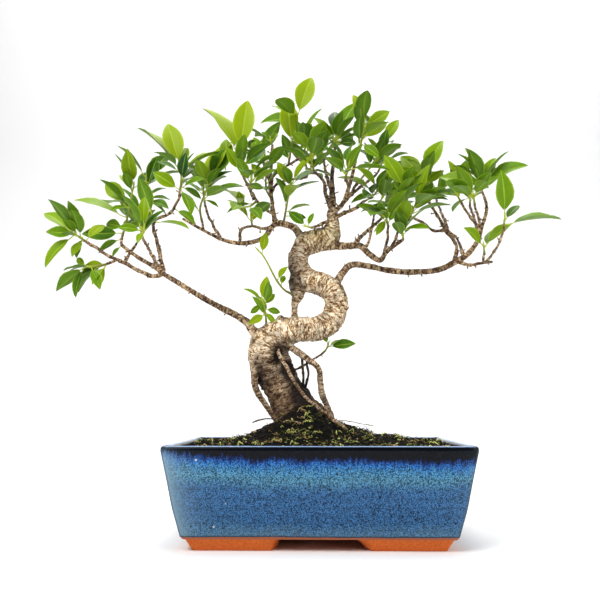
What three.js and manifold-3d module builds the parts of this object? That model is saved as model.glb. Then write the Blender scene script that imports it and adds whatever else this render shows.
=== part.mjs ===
// Bonsai fig in a glazed pot. Millimetres, +Z up, front of the pot toward -Y.
import * as THREE from 'three';
import { mergeVertices } from 'three/addons/utils/BufferGeometryUtils.js';
import Module from 'manifold-3d';

const wasm = await Module();
wasm.setup();

// Driving dimensions. The pot is centred on x = y = 0 and its feet stand on z = 0.
const potWidth = 300;
const potDepth = 220;
const potHeight = 99;
const footHeight = 10.6;
const floorTop = 20;
const wallTaper = 17; // how far each wall leans in from the rim to the glaze's lower edge
const wallThickness = 8;
const rimCorner = 6;
const lipHeight = 7;
const notchHalfFront = 34; // half the gap between the front feet
const notchHalfSide = 24;
const drainHoleRadius = 11;
const drainHoleX = 70;
const screenSide = 34;
const screenThickness = 1;
const clearance = 0.3; // between pieces that touch
const soilEdge = 92; // height of the soil along the walls
const soilMound = 32; // and how much higher it stands round the trunk
const soilMoundX = -22;
const moundLeft = 57; // reach of the mound to the left, the right, and to front and back
const moundRight = 86;
const moundDepth = 58;
const bankX = -9; // soil and moss banked against the front of the trunk: place, height and reach
const bankY = -24;
const bankRise = 16.5;
const bankWidth = 27;
const bankDepth = 22;
const trunkSides = 10;
const limbSides = 5;
const twigSides = 3;
const shootSides = 4;
const ringPitch = 14; // length of one wrinkle ring in the trunk's bark
const ringRelief = 0.035; // of the trunk's radius
const petiolePart = 0.18; // of a leaf's whole length
const bladeRatio = 0.46; // a blade's width to its length
const bladeThickness = 1.2; // at the midrib
const bladeArch = 0.11; // droop of a blade's tip, of its length
const leafStep = 2.4; // between leaves that share a place on a shoot
const leafRoom = 6.5; // least distance from a leaf to its neighbours
const kinRoom = 3; // how much nearer it may come to a leaf of its own shoot
const stemRoom = 2; // and to the stem of another shoot
const woodRoom = 1; // and to a limb
const longestLeaf = 40; // a leaf rooted further off than its own length and this can't be met

// Half width of a blade at parts of its length, of its widest.
const bladeOutline = [[0, 0.1], [0.3, 0.93], [0.68, 0.82]];

// The trunk's S from the soil to the fork of the crown: x, y, z and radius.
const trunkRoute = [
  [-10, 0, 94, 19], [-14, 0, 110, 26], [-21, 0, 127, 23], [-31, 0, 145, 21], [-43, -3, 163, 19.5],
  [-52, -6, 181, 22], [-55, -8, 198, 23], [-43, -9, 213, 19], [-23, -8, 219, 15.5], [-3, -5, 220, 15],
  [13, 0, 229, 14.5], [20, 4, 245, 14], [18, 6, 262, 14], [7, 6, 272, 13.5], [-10, 6, 278, 13.5],
  [-20, 6, 290, 11.5], [-21, 6, 307, 11.5], [-13, 5, 319, 12], [0, 4, 323, 12.5], [13, 2, 327, 12],
  [17, 2, 342, 7.5], [16, 2, 357, 6],
];

// Roots that left the trunk in the air: some reach the soil, some rejoin the trunk.
const aerialRoots = {
  column: [
    [-23, -6, 220, 5.5], [-26, -1, 237, 3.8], [-26, 3, 250, 4.5], [-24, 5, 259, 8], [-23, 6, 270, 9.5],
    [-21, 6, 290, 10],
  ],
  left: [
    [-62, -8, 200, 5], [-70, -14, 188, 4.8], [-69, -18, 172, 4.4], [-67, -21, 155, 3.6],
    [-54, -20, 134, 3.2], [-45, -18, 120, 2.8], [-39, -17, 104, 2.4],
  ],
  front: [
    [-45, -20, 199, 2.6], [-41, -29, 190, 2], [-33, -30, 176, 1.9], [-16, -32, 149, 1.8],
    [8, -35, 128, 1.8], [29, -38, 112, 1.8], [38, -39, 101, 1.7],
  ],
  right: [
    [-38, -14, 204, 6], [-27, -18, 197, 5], [-12, -18, 187, 3.8], [0, -16, 177, 3.4],
    [2, -15, 163, 3.5], [4, -14, 149, 3.8], [9, -13, 137, 4], [13, -12, 122, 4.4], [17, -12, 103, 4],
  ],
  base: [
    [-38, -3, 170, 5], [-29, -3, 157, 7], [-15, -4, 142, 9], [-2, -5, 128, 11], [2, -5, 114, 11.5],
    [2, -5, 98, 9],
  ],
  innerLeft: [[-22, -14, 198, 1.8], [-18, -13, 185, 1.5], [-16, -9, 167, 1.5], [-18, -4, 146, 1.8]],
  innerRight: [[-13, -15, 190, 1.6], [-12, -10, 180, 1.4], [-11, -8, 169, 1.4], [-16, -4, 150, 1.8]],
};

// Limbs and brown twigs: x, y, z and radius.
const limbs = {
  left: [
    [-50, -8, 204, 8.5], [-57, -8, 207, 7.5], [-70, -12, 217, 5.6], [-78, -14, 227, 4.4],
    [-90, -17, 235, 3.9], [-107, -22, 243, 3.4], [-126, -28, 253, 3.3], [-146, -34, 265, 3],
    [-166, -39, 277, 2.8],
  ],
  leftUpper: [[-166, -39, 277, 2.6], [-188, -33, 292, 2.2], [-214, -26, 310, 1.9], [-217, -24, 320, 1.7]],
  leftLower: [
    [-166, -39, 277, 2.6], [-178, -42, 275, 2.4], [-192, -46, 280, 2.2], [-213, -52, 290, 1.9],
    [-224, -55, 295, 1.8], [-245, -62, 308, 1.6],
  ],
  leftRiser: [
    [-166, -39, 277, 2.5], [-171, -37, 299, 2.2], [-177, -36, 321, 2], [-179, -34, 336, 1.8],
    [-163, -30, 347, 1.7], [-155, -28, 361, 1.5], [-153, -26, 374, 1.4],
  ],
  leftBack: [[-166, -39, 277, 2.2], [-180, -20, 295, 2], [-196, 5, 318, 1.8], [-207, 25, 335, 1.6]],
  leftFront: [[-206, -50, 287, 1.8], [-198, -56, 297, 1.5], [-186, -62, 311, 1.3]],
  leftUnder: [[-213, -52, 290, 1.8], [-222, -60, 283, 1.5]],
  arm: [
    [-15, 8, 319, 6], [-23, 14, 336, 4.4], [-32, 18, 344, 4], [-49, 20, 347, 3.8], [-62, 18, 331, 3],
    [-76, 14, 324, 2.9], [-93, 10, 322, 2.8], [-111, 6, 326, 2.5], [-132, 2, 336, 2.2], [-154, -2, 348, 1.8],
  ],
  armLoop: [
    [-90, 11, 323, 2], [-89, 16, 339, 1.8], [-77, 24, 345, 1.8], [-62, 26, 343, 1.9], [-49, 20, 347, 2.4],
  ],
  armShoot: [[-131, 2, 336, 1.7], [-132, 1, 344, 1.5]],
  armBack: [[-111, 6, 326, 2], [-122, 22, 345, 1.8], [-131, 38, 363, 1.6], [-137, 50, 379, 1.5]],
  riser: [[-49, 20, 347, 3], [-53, 22, 372, 2.6], [-56, 26, 404, 2.2], [-54, 30, 446, 1.7]],
  riserLeft: [
    [-51, 20, 359, 2.1], [-57, 16, 361, 2], [-70, 6, 371, 1.8], [-80, -12, 385, 1.6], [-85, -22, 393, 1.5],
  ],
  riserFront: [[-70, 6, 371, 1.7], [-73, -14, 370, 1.5], [-74, -34, 371, 1.4]],
  riserRight: [[-55, 25, 392, 1.8], [-51, 18, 405, 1.6], [-34, 8, 414, 1.5], [-17, 0, 422, 1.3]],
  riserFar: [[-54, 24, 388, 1.8], [-45, 34, 402, 1.6], [-13, 50, 414, 1.4]],
  riserBack: [[-55, 24, 392, 2], [-60, 38, 410, 1.8], [-65, 53, 428, 1.6], [-69, 66, 444, 1.5]],
  middle: [
    [12, 2, 317, 6.5], [22, 0, 316, 5], [33, -6, 314, 4.3], [47, -12, 313, 3.9], [56, -18, 303, 3.5],
    [68, -22, 294, 3.1], [74, -26, 302, 2.7], [85, -32, 310, 2.3], [92, -36, 314, 2],
  ],
  middleFirst: [[51, -15, 309, 2], [57, -14, 318, 1.6], [61, -10, 334, 1.4], [64, -6, 350, 1.3]],
  middleSecond: [[72, -25, 299, 1.8], [75, -34, 316, 1.5], [76, -40, 327, 1.4]],
  middleThird: [[79, -29, 305, 1.8], [87, -26, 323, 1.5], [91, -22, 341, 1.4]],
  middleBack: [[40, -9, 314, 3], [50, 14, 330, 2.3], [68, 36, 350, 1.9], [86, 58, 371, 1.5]],
  right: [
    [17, 7, 268, 7], [23, 8, 278, 5.2], [29, 10, 288, 4.4], [38, 12, 296, 4.1], [52, 13, 296, 3.9],
    [75, 12, 291, 3.9], [95, 8, 287, 3.8], [116, 2, 286, 3.6], [136, -6, 287, 3.5], [154, -16, 295, 3.2],
    [165, -20, 302, 3], [175, -26, 316, 2.6], [178, -30, 328, 2.4], [183, -36, 349, 2], [177, -40, 368, 1.6],
  ],
  rightFirst: [
    [150, -14, 293, 2.6], [155, -8, 310, 2.3], [153, -2, 321, 2.1], [146, 6, 335, 2], [136, 14, 358, 1.8],
    [130, 18, 372, 1.6],
  ],
  rightTwin: [[160, -18, 299, 2], [157, -16, 311, 1.6], [154, -10, 323, 1.5], [147, 5, 335, 1.7]],
  rightInner: [[146, 6, 335, 1.9], [132, 2, 333, 1.7], [118, -2, 342, 1.6], [104, -6, 348, 1.5]],
  rightSide: [[175, -26, 314, 2], [176, -14, 335, 1.7], [170, -6, 349, 1.6], [164, 0, 365, 1.4]],
  rightFront: [[176, -28, 320, 1.8], [173, -38, 336, 1.5], [168, -46, 349, 1.3]],
  rightEnd: [[153, -16, 294, 2.4], [165, -22, 288, 1.9], [176, -30, 289, 1.7], [187, -36, 289, 1.4]],
  rightTip: [[180, -32, 289, 1.7], [191, -40, 304, 1.5], [197, -47, 319, 1.4], [197, -48, 324, 1.3]],
  rightFork: [[178, -31, 289, 1.5], [180, -30, 298, 1.3]],
  rightBack: [[147, 5, 335, 2], [149, 20, 348, 1.8], [147, 38, 366, 1.6], [145, 52, 382, 1.4]],
  rightFar: [[175, -26, 316, 2], [178, -8, 330, 1.8], [181, 14, 350, 1.6], [182, 40, 374, 1.4]],
  topCentre: [
    [16, 2, 354, 5.2], [18, 4, 365, 3.8], [17, 8, 384, 3.1], [17, 12, 403, 2.6], [21, 18, 441, 1.8],
  ],
  topLeft: [[16, 2, 358, 3.6], [9, -8, 374, 2.7], [7, -16, 386, 2.3], [-4, -26, 395, 1.7]],
  topRight: [[17, 2, 356, 3.8], [29, -4, 365, 2.8], [38, -14, 390, 2.3], [44, -22, 414, 1.7]],
  topFar: [[29, -4, 365, 2.4], [37, 6, 376, 2.1], [46, 16, 393, 1.7]],
  topLow: [[17, 2, 348, 3], [27, 4, 353, 2.4], [45, 12, 364, 2.1], [54, 20, 373, 1.7]],
  topDown: [[16, 2, 345, 2.6], [9, -4, 342, 2], [-6, -12, 334, 1.6]],
  topBack: [[17, 5, 370, 3], [15, 22, 392, 2.4], [10, 44, 418, 1.9], [7, 64, 443, 1.5]],
  topFarBack: [[37, 6, 376, 2.1], [50, 24, 392, 1.9], [64, 44, 408, 1.7], [75, 60, 423, 1.5]],
  topFront: [[35, -11, 383, 2], [33, -28, 381, 1.7], [30, -45, 378, 1.4]],
  low: [[-36, 2, 174, 2], [-22, 4, 178, 1.6], [-7, 6, 187, 1.3], [4, 8, 194, 1.2]],
  stub: [[-43, -9, 218, 6], [-41, -9, 234, 4.5]],
};

// Leafy shoots. Each leaf is [place along the shoot in tenths, heading in degrees as seen from the
// front (0 right, 90 up), lean to the back in degrees, whole length, turn of its face off the front].
// more is the number of leaves that grow besides, all round the shoot.
const shoots = {
  left_end: {
    route: [[-245, -62, 308], [-252, -66, 313], [-257, -68, 316]], more: 0,
    leaves: [
      [0, 262, -20, 27, 10], [0, 62, 30, 34, 10], [8, 227, -10, 46, 30], [10, 176, -25, 30, 10],
      [10, 153, 35, 34, 40], [10, 140, -5, 44, 42],
    ],
  },
  left_under: {
    route: [[-222, -60, 283], [-236, -66, 280], [-242, -70, 280]], more: 0,
    leaves: [[0, 236, 10, 28, 0], [7, 298, -15, 28, 20], [9, 143, 20, 19, 0], [10, 252, 0, 34, 26]],
  },
  left_upper: {
    route: [[-217, -24, 320], [-213, -22, 339], [-210, -20, 362], [-207, -20, 381]], more: 1,
    leaves: [
      [1, 187, -30, 44, 0], [2, 161, 20, 30, 0], [4, 156, -10, 62, 62], [6, 199, -35, 24, 40],
      [7, 138, 10, 46, 0], [7, 158, 45, 76, 55], [9, 123, 20, 36, 45], [10, 54, 25, 46, 0],
      [10, 88, -55, 46, 0], [0, 210, -10, 30, 30],
    ],
  },
  left_front: {
    route: [[-186, -62, 311], [-183, -64, 321]], more: 0,
    leaves: [[7, 274, 0, 18, 0], [10, 175, -20, 26, 0], [10, 90, -10, 34, 0]],
  },
  left_inner: {
    route: [[-179, -34, 336], [-186, -26, 354], [-192, -20, 374], [-194, -16, 392]], more: 1,
    leaves: [
      [0, 353, -20, 44, 68], [5, 333, 30, 26, 60], [6, 338, -20, 28, 35], [6, 12, 10, 26, 55],
      [6, 47, 30, 28, 40], [9, 36, 20, 42, 66], [10, 57, 15, 42, 0],
    ],
  },
  left_top: {
    route: [[-153, -26, 374], [-152, -26, 388], [-154, -26, 400]], more: 1,
    leaves: [
      [0, 302, -15, 42, 55], [1, 336, 20, 27, 30], [0, 147, -15, 36, 0], [1, 19, -10, 31, 45],
      [4, 76, -30, 32, 0], [10, 84, 20, 38, 0], [9, 42, 15, 54, 60], [9, 119, 30, 72, 72],
      [10, 104, 0, 58, 20],
    ],
  },
  left_arm: {
    route: [[-132, 1, 344], [-134, -4, 360], [-127, -6, 380], [-125, -8, 387]], more: 2,
    leaves: [
      [6, 338, 0, 20, 50], [7, 21, -15, 46, 58], [10, 44, 12, 36, 45], [9, 75, 15, 76, 40],
      [10, 65, -5, 56, 0],
    ],
  },
  crown_left: {
    route: [[-85, -22, 393], [-84, -26, 403], [-87, -28, 414]], more: 1,
    leaves: [[3, 53, 20, 44, 0], [1, 122, -25, 32, 0], [10, 119, 5, 80, 55], [10, 83, -5, 66, 0]],
  },
  arm_side: {
    route: [[-70, 6, 371], [-77, 0, 363], [-85, -6, 360]], more: 2,
    leaves: [[10, 114, 15, 54, 50]],
  },
  loop_shoot: {
    route: [[-77, 24, 345], [-78, 18, 356]], more: 0,
    leaves: [[5, 69, -15, 24, 0], [5, 130, -10, 42, 55]],
  },
  inner_stem: {
    route: [
      [-26, 1, 257], [-31, -4, 261], [-38, -6, 265], [-47, -5, 277], [-60, 0, 302], [-68, 3, 312],
    ], more: 0,
    leaves: [[4, 56, -10, 20, 30], [9, 80, -10, 26, 0], [3, 75, 10, 16, 0]],
  },
  inner_leaves: {
    route: [[-57, -10, 222], [-58, -12, 238], [-61, -14, 251]], more: 0,
    leaves: [
      [7, 350, 10, 20, 0], [5, 215, -20, 24, 0], [9, 50, 15, 20, 0], [9, 212, 20, 20, 0],
      [10, 82, -10, 30, 0], [10, 140, 0, 26, 60], [4, 125, -10, 28, 50], [6, 310, -20, 18, 0],
    ],
  },
  twin_leaf: {
    route: [[-54, 30, 446], [-56, 30, 453]], more: 1,
    leaves: [[8, 131, 0, 18, 0], [9, 61, 10, 18, 0]],
  },
  peak: {
    route: [[-34, 8, 414], [-31, 6, 432], [-27, 4, 453], [-24, 2, 469]], more: 1,
    leaves: [
      [1, 114, 20, 24, 0], [4, 95, -15, 56, 0], [10, 128, 25, 50, 40], [10, 170, 15, 48, 30],
      [10, 72, 0, 58, 0],
    ],
  },
  crown_right: {
    route: [[-17, 0, 422], [-14, -4, 433], [-15, -6, 443]], more: 2,
    leaves: [[1, 36, -20, 32, 0], [6, 62, 10, 32, 0], [10, 67, 0, 42, 60]],
  },
  crown_back: {
    route: [[-13, 50, 414], [-7, 54, 429]], more: 3,
    leaves: [[5, 57, 10, 24, 0]],
  },
  inner_green: {
    route: [[-40, 19, 347], [-36, 11, 366], [-31, 0, 388]], more: 2,
    leaves: [[3, 21, -10, 30, 64], [2, 8, -20, 26, 0], [10, 117, -15, 32, 0], [10, 54, -20, 44, 55]],
  },
  up_left: {
    route: [[-54, 23, 378], [-60, 14, 387], [-60, 10, 404], [-59, 10, 416]], more: 1,
    leaves: [[3, 155, 15, 26, 12], [5, 128, -15, 28, 0], [8, 159, 10, 22, 35], [10, 156, 20, 18, 30]],
  },
  top_centre: {
    route: [[21, 18, 441], [22, 18, 453]], more: 1,
    leaves: [
      [2, 17, 25, 32, 0], [4, 18, 0, 34, 58], [6, 129, -10, 38, 40], [7, 146, 45, 42, 20],
      [10, 62, -10, 50, 18], [10, 90, 25, 50, 0],
    ],
  },
  top_left: {
    route: [[-4, -26, 395], [-7, -30, 407], [-8, -32, 417]], more: 2,
    leaves: [[9, 121, -10, 27, 0], [8, 42, -20, 29, 0]],
  },
  top_right: {
    route: [[44, -22, 414], [49, -26, 429], [52, -28, 448]], more: 2,
    leaves: [
      [4, 317, -20, 28, 0], [5, 40, 5, 40, 0], [9, 34, -5, 36, 0], [10, 58, 35, 42, 45],
      [10, 106, -5, 38, 15],
    ],
  },
  top_far: {
    route: [[46, 16, 393], [60, 20, 412], [72, 22, 427], [78, 22, 442]], more: 2,
    leaves: [
      [4, 41, 0, 30, 34], [8, 356, 20, 32, 15], [8, 73, -20, 31, 0], [10, 8, 10, 24, 10], [10, 63, 0, 40, 20],
    ],
  },
  top_low: {
    route: [[54, 20, 373], [64, 10, 377], [70, 2, 382]], more: 2,
    leaves: [[9, 192, 10, 30, 35], [9, 153, -25, 48, 62], [10, 132, -15, 38, 45], [9, 62, 0, 32, 0]],
  },
  middle_new: {
    route: [[76, -40, 327], [73, -44, 338]], more: 1,
    leaves: [[8, 238, -10, 22, 12], [3, 215, 0, 20, 50], [3, 61, -15, 22, 0], [10, 112, 15, 20, 0]],
  },
  middle_first: {
    route: [[64, -6, 350], [68, -8, 361], [73, -8, 369]], more: 2,
    leaves: [[2, 149, 10, 21, 0]],
  },
  middle_centre: {
    route: [[91, -22, 341], [93, -24, 356], [96, -26, 373]], more: 2,
    leaves: [[4, 177, -10, 46, 60], [8, 112, 10, 26, 0], [10, 142, 35, 58, 60], [10, 119, -10, 45, 0]],
  },
  middle_end: {
    route: [[92, -36, 314], [91, -38, 324]], more: 1,
    leaves: [[5, 44, 0, 18, 50], [10, 351, -15, 34, 50]],
  },
  right_crown: {
    route: [[130, 18, 372], [127, 14, 385], [123, 10, 398]], more: 1,
    leaves: [
      [4, 93, 25, 24, 0], [8, 49, 10, 22, 0], [10, 343, -20, 30, 38], [10, 145, -15, 38, 0],
      [10, 44, 0, 27, 0],
      [10, 85, 45, 48, 0], [10, 125, 0, 46, 0], [10, 66, -5, 52, 25],
    ],
  },
  right_fore: {
    route: [[104, -6, 348], [108, -10, 357], [111, -12, 363]], more: 2,
    leaves: [[2, 19, -5, 46, 72], [3, 166, -10, 30, 35], [9, 76, -20, 46, 48]],
  },
  right_side: {
    route: [[164, 0, 365], [158, -2, 374]], more: 2,
    leaves: [[9, 81, 20, 34, 0], [10, 102, -10, 40, 35]],
  },
  right_end: {
    route: [[177, -40, 368], [179, -42, 378]], more: 1,
    leaves: [
      [1, 160, 20, 26, 12], [9, 135, 20, 40, 66], [10, 146, -5, 50, 25], [10, 66, 0, 36, 22],
      [10, 46, 38, 48, 40], [10, 25, -10, 48, 35],
    ],
  },
  right_low: {
    route: [[168, -46, 349], [166, -50, 358]], more: 1,
    leaves: [[10, 137, -10, 24, 0], [10, 55, -20, 26, 0]],
  },
  right_tip: {
    route: [[197, -48, 324], [198, -50, 333]], more: 0,
    leaves: [[3, 13, 0, 62, 70], [10, 50, 15, 30, 38], [10, 98, -30, 51, 0]],
  },
  right_fork: {
    route: [[180, -30, 298], [180, -28, 308]], more: 0,
    leaves: [[9, 46, -10, 40, 48], [10, 56, 25, 44, 60], [10, 138, -15, 38, 28]],
  },
  low_shoot: {
    route: [[4, 8, 194], [9, 8, 199], [11, 6, 204]], more: 0,
    leaves: [[8, 10, -10, 32, 30], [10, 37, 5, 29, 58], [10, 111, 0, 18, 0]],
  },
  bend_leaf: {
    route: [[-6, -12, 334], [-12, -13, 335]], more: 0,
    leaves: [[10, 140, -10, 27, 0], [9, 68, -10, 17, 20]],
  },
  back_left: { route: [[-207, 25, 335], [-211, 34, 354], [-210, 38, 372]], more: 3, leaves: [] },
  back_arm: { route: [[-137, 50, 379], [-141, 56, 400], [-141, 58, 419]], more: 3, leaves: [] },
  back_crown: { route: [[-69, 66, 444], [-73, 70, 454], [-75, 72, 462]], more: 3, leaves: [] },
  back_top: { route: [[7, 64, 443], [6, 67, 453], [6, 70, 463]], more: 5, leaves: [] },
  back_top_right: { route: [[75, 60, 423], [79, 63, 432], [82, 66, 441]], more: 3, leaves: [] },
  back_middle: { route: [[86, 58, 371], [89, 61, 380], [92, 64, 389]], more: 3, leaves: [] },
  back_right: { route: [[145, 52, 382], [144, 55, 391], [144, 58, 400]], more: 3, leaves: [] },
  back_right_end: { route: [[182, 40, 374], [183, 44, 384], [183, 48, 394]], more: 4, leaves: [] },
  fore_crown: { route: [[-74, -34, 371], [-73, -40, 378], [-71, -46, 386]], more: 3, leaves: [] },
  fore_top: { route: [[30, -45, 378], [31, -50, 385], [33, -54, 392]], more: 3, leaves: [] },
};

const vec = (x, y, z) => new THREE.Vector3(x, y, z);
const rad = THREE.MathUtils.degToRad;

// A repeatable draw between 0 and 1 for the whole number n.
const draw = (n) => {
  const s = Math.sin(n * 12.9898 + 4.1) * 43758.5453;
  return s - Math.floor(s);
};

// A closed geometry through rings of equal count; a ring of one point is a tip.
function loft(rings) {
  const positions = rings.flat().flatMap((p) => [p.x, p.y, p.z]);
  const starts = [];
  let count = 0;
  for (const ring of rings) {
    starts.push(count);
    count += ring.length;
  }
  const index = [];
  for (let k = 0; k < rings.length - 1; k += 1) {
    const [a, b] = [starts[k], starts[k + 1]];
    const [na, nb] = [rings[k].length, rings[k + 1].length];
    const n = Math.max(na, nb);
    for (let i = 0; i < n; i += 1) {
      const j = (i + 1) % n;
      if (na > 1) index.push(a + i, a + j, b + (nb > 1 ? j : 0));
      if (nb > 1) index.push(a + (na > 1 ? i : 0), b + j, b + i);
    }
  }
  const last = rings.length - 1;
  for (let i = 1; i < rings[0].length - 1; i += 1) index.push(starts[0], starts[0] + i + 1, starts[0] + i);
  for (let i = 1; i < rings[last].length - 1; i += 1) {
    index.push(starts[last], starts[last] + i, starts[last] + i + 1);
  }
  return closedSolid(positions, index);
}

// A solid from vertices and triangles that may all face in: then they are turned round.
function closedSolid(positions, index) {
  let volume = 0;
  const [a, b, c] = [vec(), vec(), vec()];
  for (let i = 0; i < index.length; i += 3) {
    a.fromArray(positions, index[i] * 3);
    b.fromArray(positions, index[i + 1] * 3);
    c.fromArray(positions, index[i + 2] * 3);
    volume += a.dot(b.cross(c));
  }
  const triVerts = Uint32Array.from(volume < 0 ? index.toReversed() : index);
  const vertProperties = Float32Array.from(positions);
  return new wasm.Manifold(new wasm.Mesh({ numProp: 3, vertProperties, triVerts }));
}

// A solid from a closed three.js geometry.
function solidOf(geometry) {
  const bare = geometry.index ? geometry.toNonIndexed() : geometry;
  bare.deleteAttribute('normal');
  bare.deleteAttribute('uv');
  const merged = mergeVertices(bare, 1e-4);
  return closedSolid(Array.from(merged.attributes.position.array), Array.from(merged.index.array));
}

// The largest body of a solid, without loose scraps and sealed hollows.
function oneBody(solid) {
  const bodies = solid.decompose();
  return bodies.reduce((best, body) => (body.volume() > best.volume() ? body : best));
}

// Points of a Catmull-Rom route through [x, y, z, radius], about step apart.
function smoothRoute(points, step) {
  const stations = [];
  const at = (i) => points[Math.min(Math.max(i, 0), points.length - 1)];
  for (let k = 0; k < points.length - 1; k += 1) {
    const [p, q, r, s] = [at(k - 1), at(k), at(k + 1), at(k + 2)];
    const length = Math.hypot(r[0] - q[0], r[1] - q[1], r[2] - q[2]);
    const count = Math.max(1, Math.round(length / step));
    for (let i = 0; i < count; i += 1) {
      const t = i / count;
      stations.push(q.map((_, c) => {
        const square = 2 * p[c] - 5 * q[c] + 4 * r[c] - s[c];
        const cube = 3 * q[c] - p[c] - 3 * r[c] + s[c];
        return 0.5 * (2 * q[c] + (r[c] - p[c]) * t + square * t ** 2 + cube * t ** 3);
      }));
    }
  }
  stations.push([...points.at(-1)]);
  return stations;
}

// A tapered rod along stations of [x, y, z, radius], its sections turned as little as possible.
function rod(stations, sides, { extra = 0, relief = () => 1, pointed = false } = {}) {
  const centres = stations.map(([x, y, z]) => vec(x, y, z));
  const rings = [];
  let side = null;
  stations.forEach((station, k) => {
    const ahead = centres[Math.min(k + 1, centres.length - 1)];
    const tangent = ahead.clone().sub(centres[Math.max(k - 1, 0)]).normalize();
    if (!side) side = Math.abs(tangent.z) > 0.8 ? vec(1, 0, 0) : vec(0, 0, 1);
    side = side.clone().addScaledVector(tangent, -side.dot(tangent)).normalize();
    const other = tangent.clone().cross(side);
    const ring = [];
    for (let i = 0; i < sides; i += 1) {
      const angle = (i / sides) * 2 * Math.PI;
      const radius = station[3] * relief(k, angle) + extra;
      ring.push(centres[k].clone().addScaledVector(side, radius * Math.cos(angle))
        .addScaledVector(other, radius * Math.sin(angle)));
    }
    rings.push(ring);
  });
  if (pointed) {
    const end = centres.at(-1);
    const ahead = end.clone().sub(centres.at(-2)).normalize();
    rings.push([end.clone().addScaledVector(ahead, stations.at(-1)[3] * 4)]);
  }
  return loft(rings);
}

// A rounded rectangle of points at height z.
function roundedRing(halfX, halfY, radius, z) {
  const cornerSteps = 3;
  const ring = [];
  [[1, 1, 0], [-1, 1, 90], [-1, -1, 180], [1, -1, 270]].forEach(([sx, sy, start]) => {
    for (let i = 0; i <= cornerSteps; i += 1) {
      const angle = rad(start + (90 * i) / cornerSteps);
      const x = sx * (halfX - radius) + radius * Math.cos(angle);
      const y = sy * (halfY - radius) + radius * Math.sin(angle);
      ring.push(vec(x, y, z));
    }
  });
  return ring;
}

// The pot's ring inset from the rim's outline.
function potRing(inset, z) {
  const corner = Math.max(rimCorner - inset * 0.1, 3);
  return roundedRing(potWidth / 2 - inset, potDepth / 2 - inset, corner, z);
}

// The pot's hollow, with gap added to keep the soil clear of its walls.
function potHollow(gap, top) {
  const inset = wallThickness + gap;
  return loft([
    potRing(wallTaper + inset + 4, floorTop + gap), potRing(wallTaper + inset, floorTop + 4 + gap),
    potRing(inset + 1, potHeight - lipHeight), potRing(inset, top),
  ]);
}

// An arched notch between two feet, cut through along y and then turned by angle.
function footNotch(halfWidth, length, angle) {
  const shape = new THREE.Shape();
  const rise = footHeight - 0.6; // just short of the floor above the feet
  shape.moveTo(-halfWidth - 4, -1);
  shape.lineTo(halfWidth + 4, -1);
  shape.quadraticCurveTo(halfWidth + 3, rise * 0.55, halfWidth - 3, rise * 0.75);
  shape.quadraticCurveTo(halfWidth - 6, rise, halfWidth - 12, rise);
  shape.lineTo(-halfWidth + 12, rise);
  shape.quadraticCurveTo(-halfWidth + 6, rise, -halfWidth + 3, rise * 0.75);
  shape.quadraticCurveTo(-halfWidth - 3, rise * 0.55, -halfWidth - 4, -1);
  const geometry = new THREE.ExtrudeGeometry(shape, { depth: length, bevelEnabled: false, curveSegments: 3 });
  geometry.rotateX(Math.PI / 2).translate(0, length / 2, 0).rotateZ(rad(angle));
  return solidOf(geometry);
}

// The pot: tapered walls with a rolled lip, a foot band cut into four corner feet, and drain holes.
function makePot() {
  const glazeEdge = wallTaper + 1; // the rim's overhang over the glaze's lower edge
  let pot = loft([
    potRing(glazeEdge + 9, 0), potRing(glazeEdge + 6, footHeight), potRing(glazeEdge + 5, footHeight + 1.6),
    potRing(glazeEdge + 1.5, footHeight + 3), potRing(glazeEdge - 1.2, footHeight + 6),
    potRing(wallTaper * 0.6, potHeight * 0.42), potRing(wallTaper * 0.3, potHeight * 0.68),
    potRing(0.4, potHeight - lipHeight), potRing(0, potHeight - lipHeight + 2), potRing(0, potHeight - 1.5),
    potRing(1.5, potHeight), potRing(wallThickness - 1.5, potHeight), potRing(wallThickness, potHeight - 1.5),
  ]);
  pot = pot.subtract(potHollow(0, potHeight + 5));
  const recess = loft([potRing(glazeEdge + 24, -1), potRing(glazeEdge + 22, footHeight)]);
  pot = pot.subtract(recess);
  pot = pot.subtract(footNotch(notchHalfFront, potDepth + 20, 0));
  pot = pot.subtract(footNotch(notchHalfSide, potWidth + 20, 90));
  for (const x of [-drainHoleX, drainHoleX]) {
    const hole = new THREE.CylinderGeometry(drainHoleRadius, drainHoleRadius, 30, 24);
    hole.rotateX(Math.PI / 2).translate(x, 0, floorTop - 8);
    pot = pot.subtract(solidOf(hole));
  }
  return oneBody(pot);
}

// A plastic screen of crossed bars, laid over a drain hole.
function makeScreen() {
  const bars = 4;
  const barWidth = 2.6;
  const pitch = (screenSide - barWidth) / (bars - 1);
  let screen = null;
  for (let i = 0; i < bars; i += 1) {
    const offset = (i - (bars - 1) / 2) * pitch;
    const lengthways = new THREE.BoxGeometry(screenSide, barWidth, screenThickness);
    const crossways = new THREE.BoxGeometry(barWidth, screenSide, screenThickness);
    lengthways.translate(0, offset, screenThickness / 2);
    crossways.translate(offset, 0, screenThickness / 2);
    const pair = solidOf(lengthways).add(solidOf(crossways));
    screen = screen ? screen.add(pair) : pair;
  }
  return screen;
}

// Cushions of moss on the soil: middle, radius and height.
const mossCushions = [
  [-112, -50, 15, 6], [-72, -78, 18, 4], [-26, -74, 18, 5], [20, -80, 18, 4], [52, -52, 20, 5],
  [96, -78, 18, 5], [112, -36, 20, 6], [84, 0, 20, 5], [124, 14, 16, 6], [58, 48, 20, 5], [108, 66, 18, 5],
  [10, 80, 20, 5], [-44, 70, 20, 5], [-92, 74, 18, 5], [-118, 24, 18, 5], [-88, -20, 16, 3],
];

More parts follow.
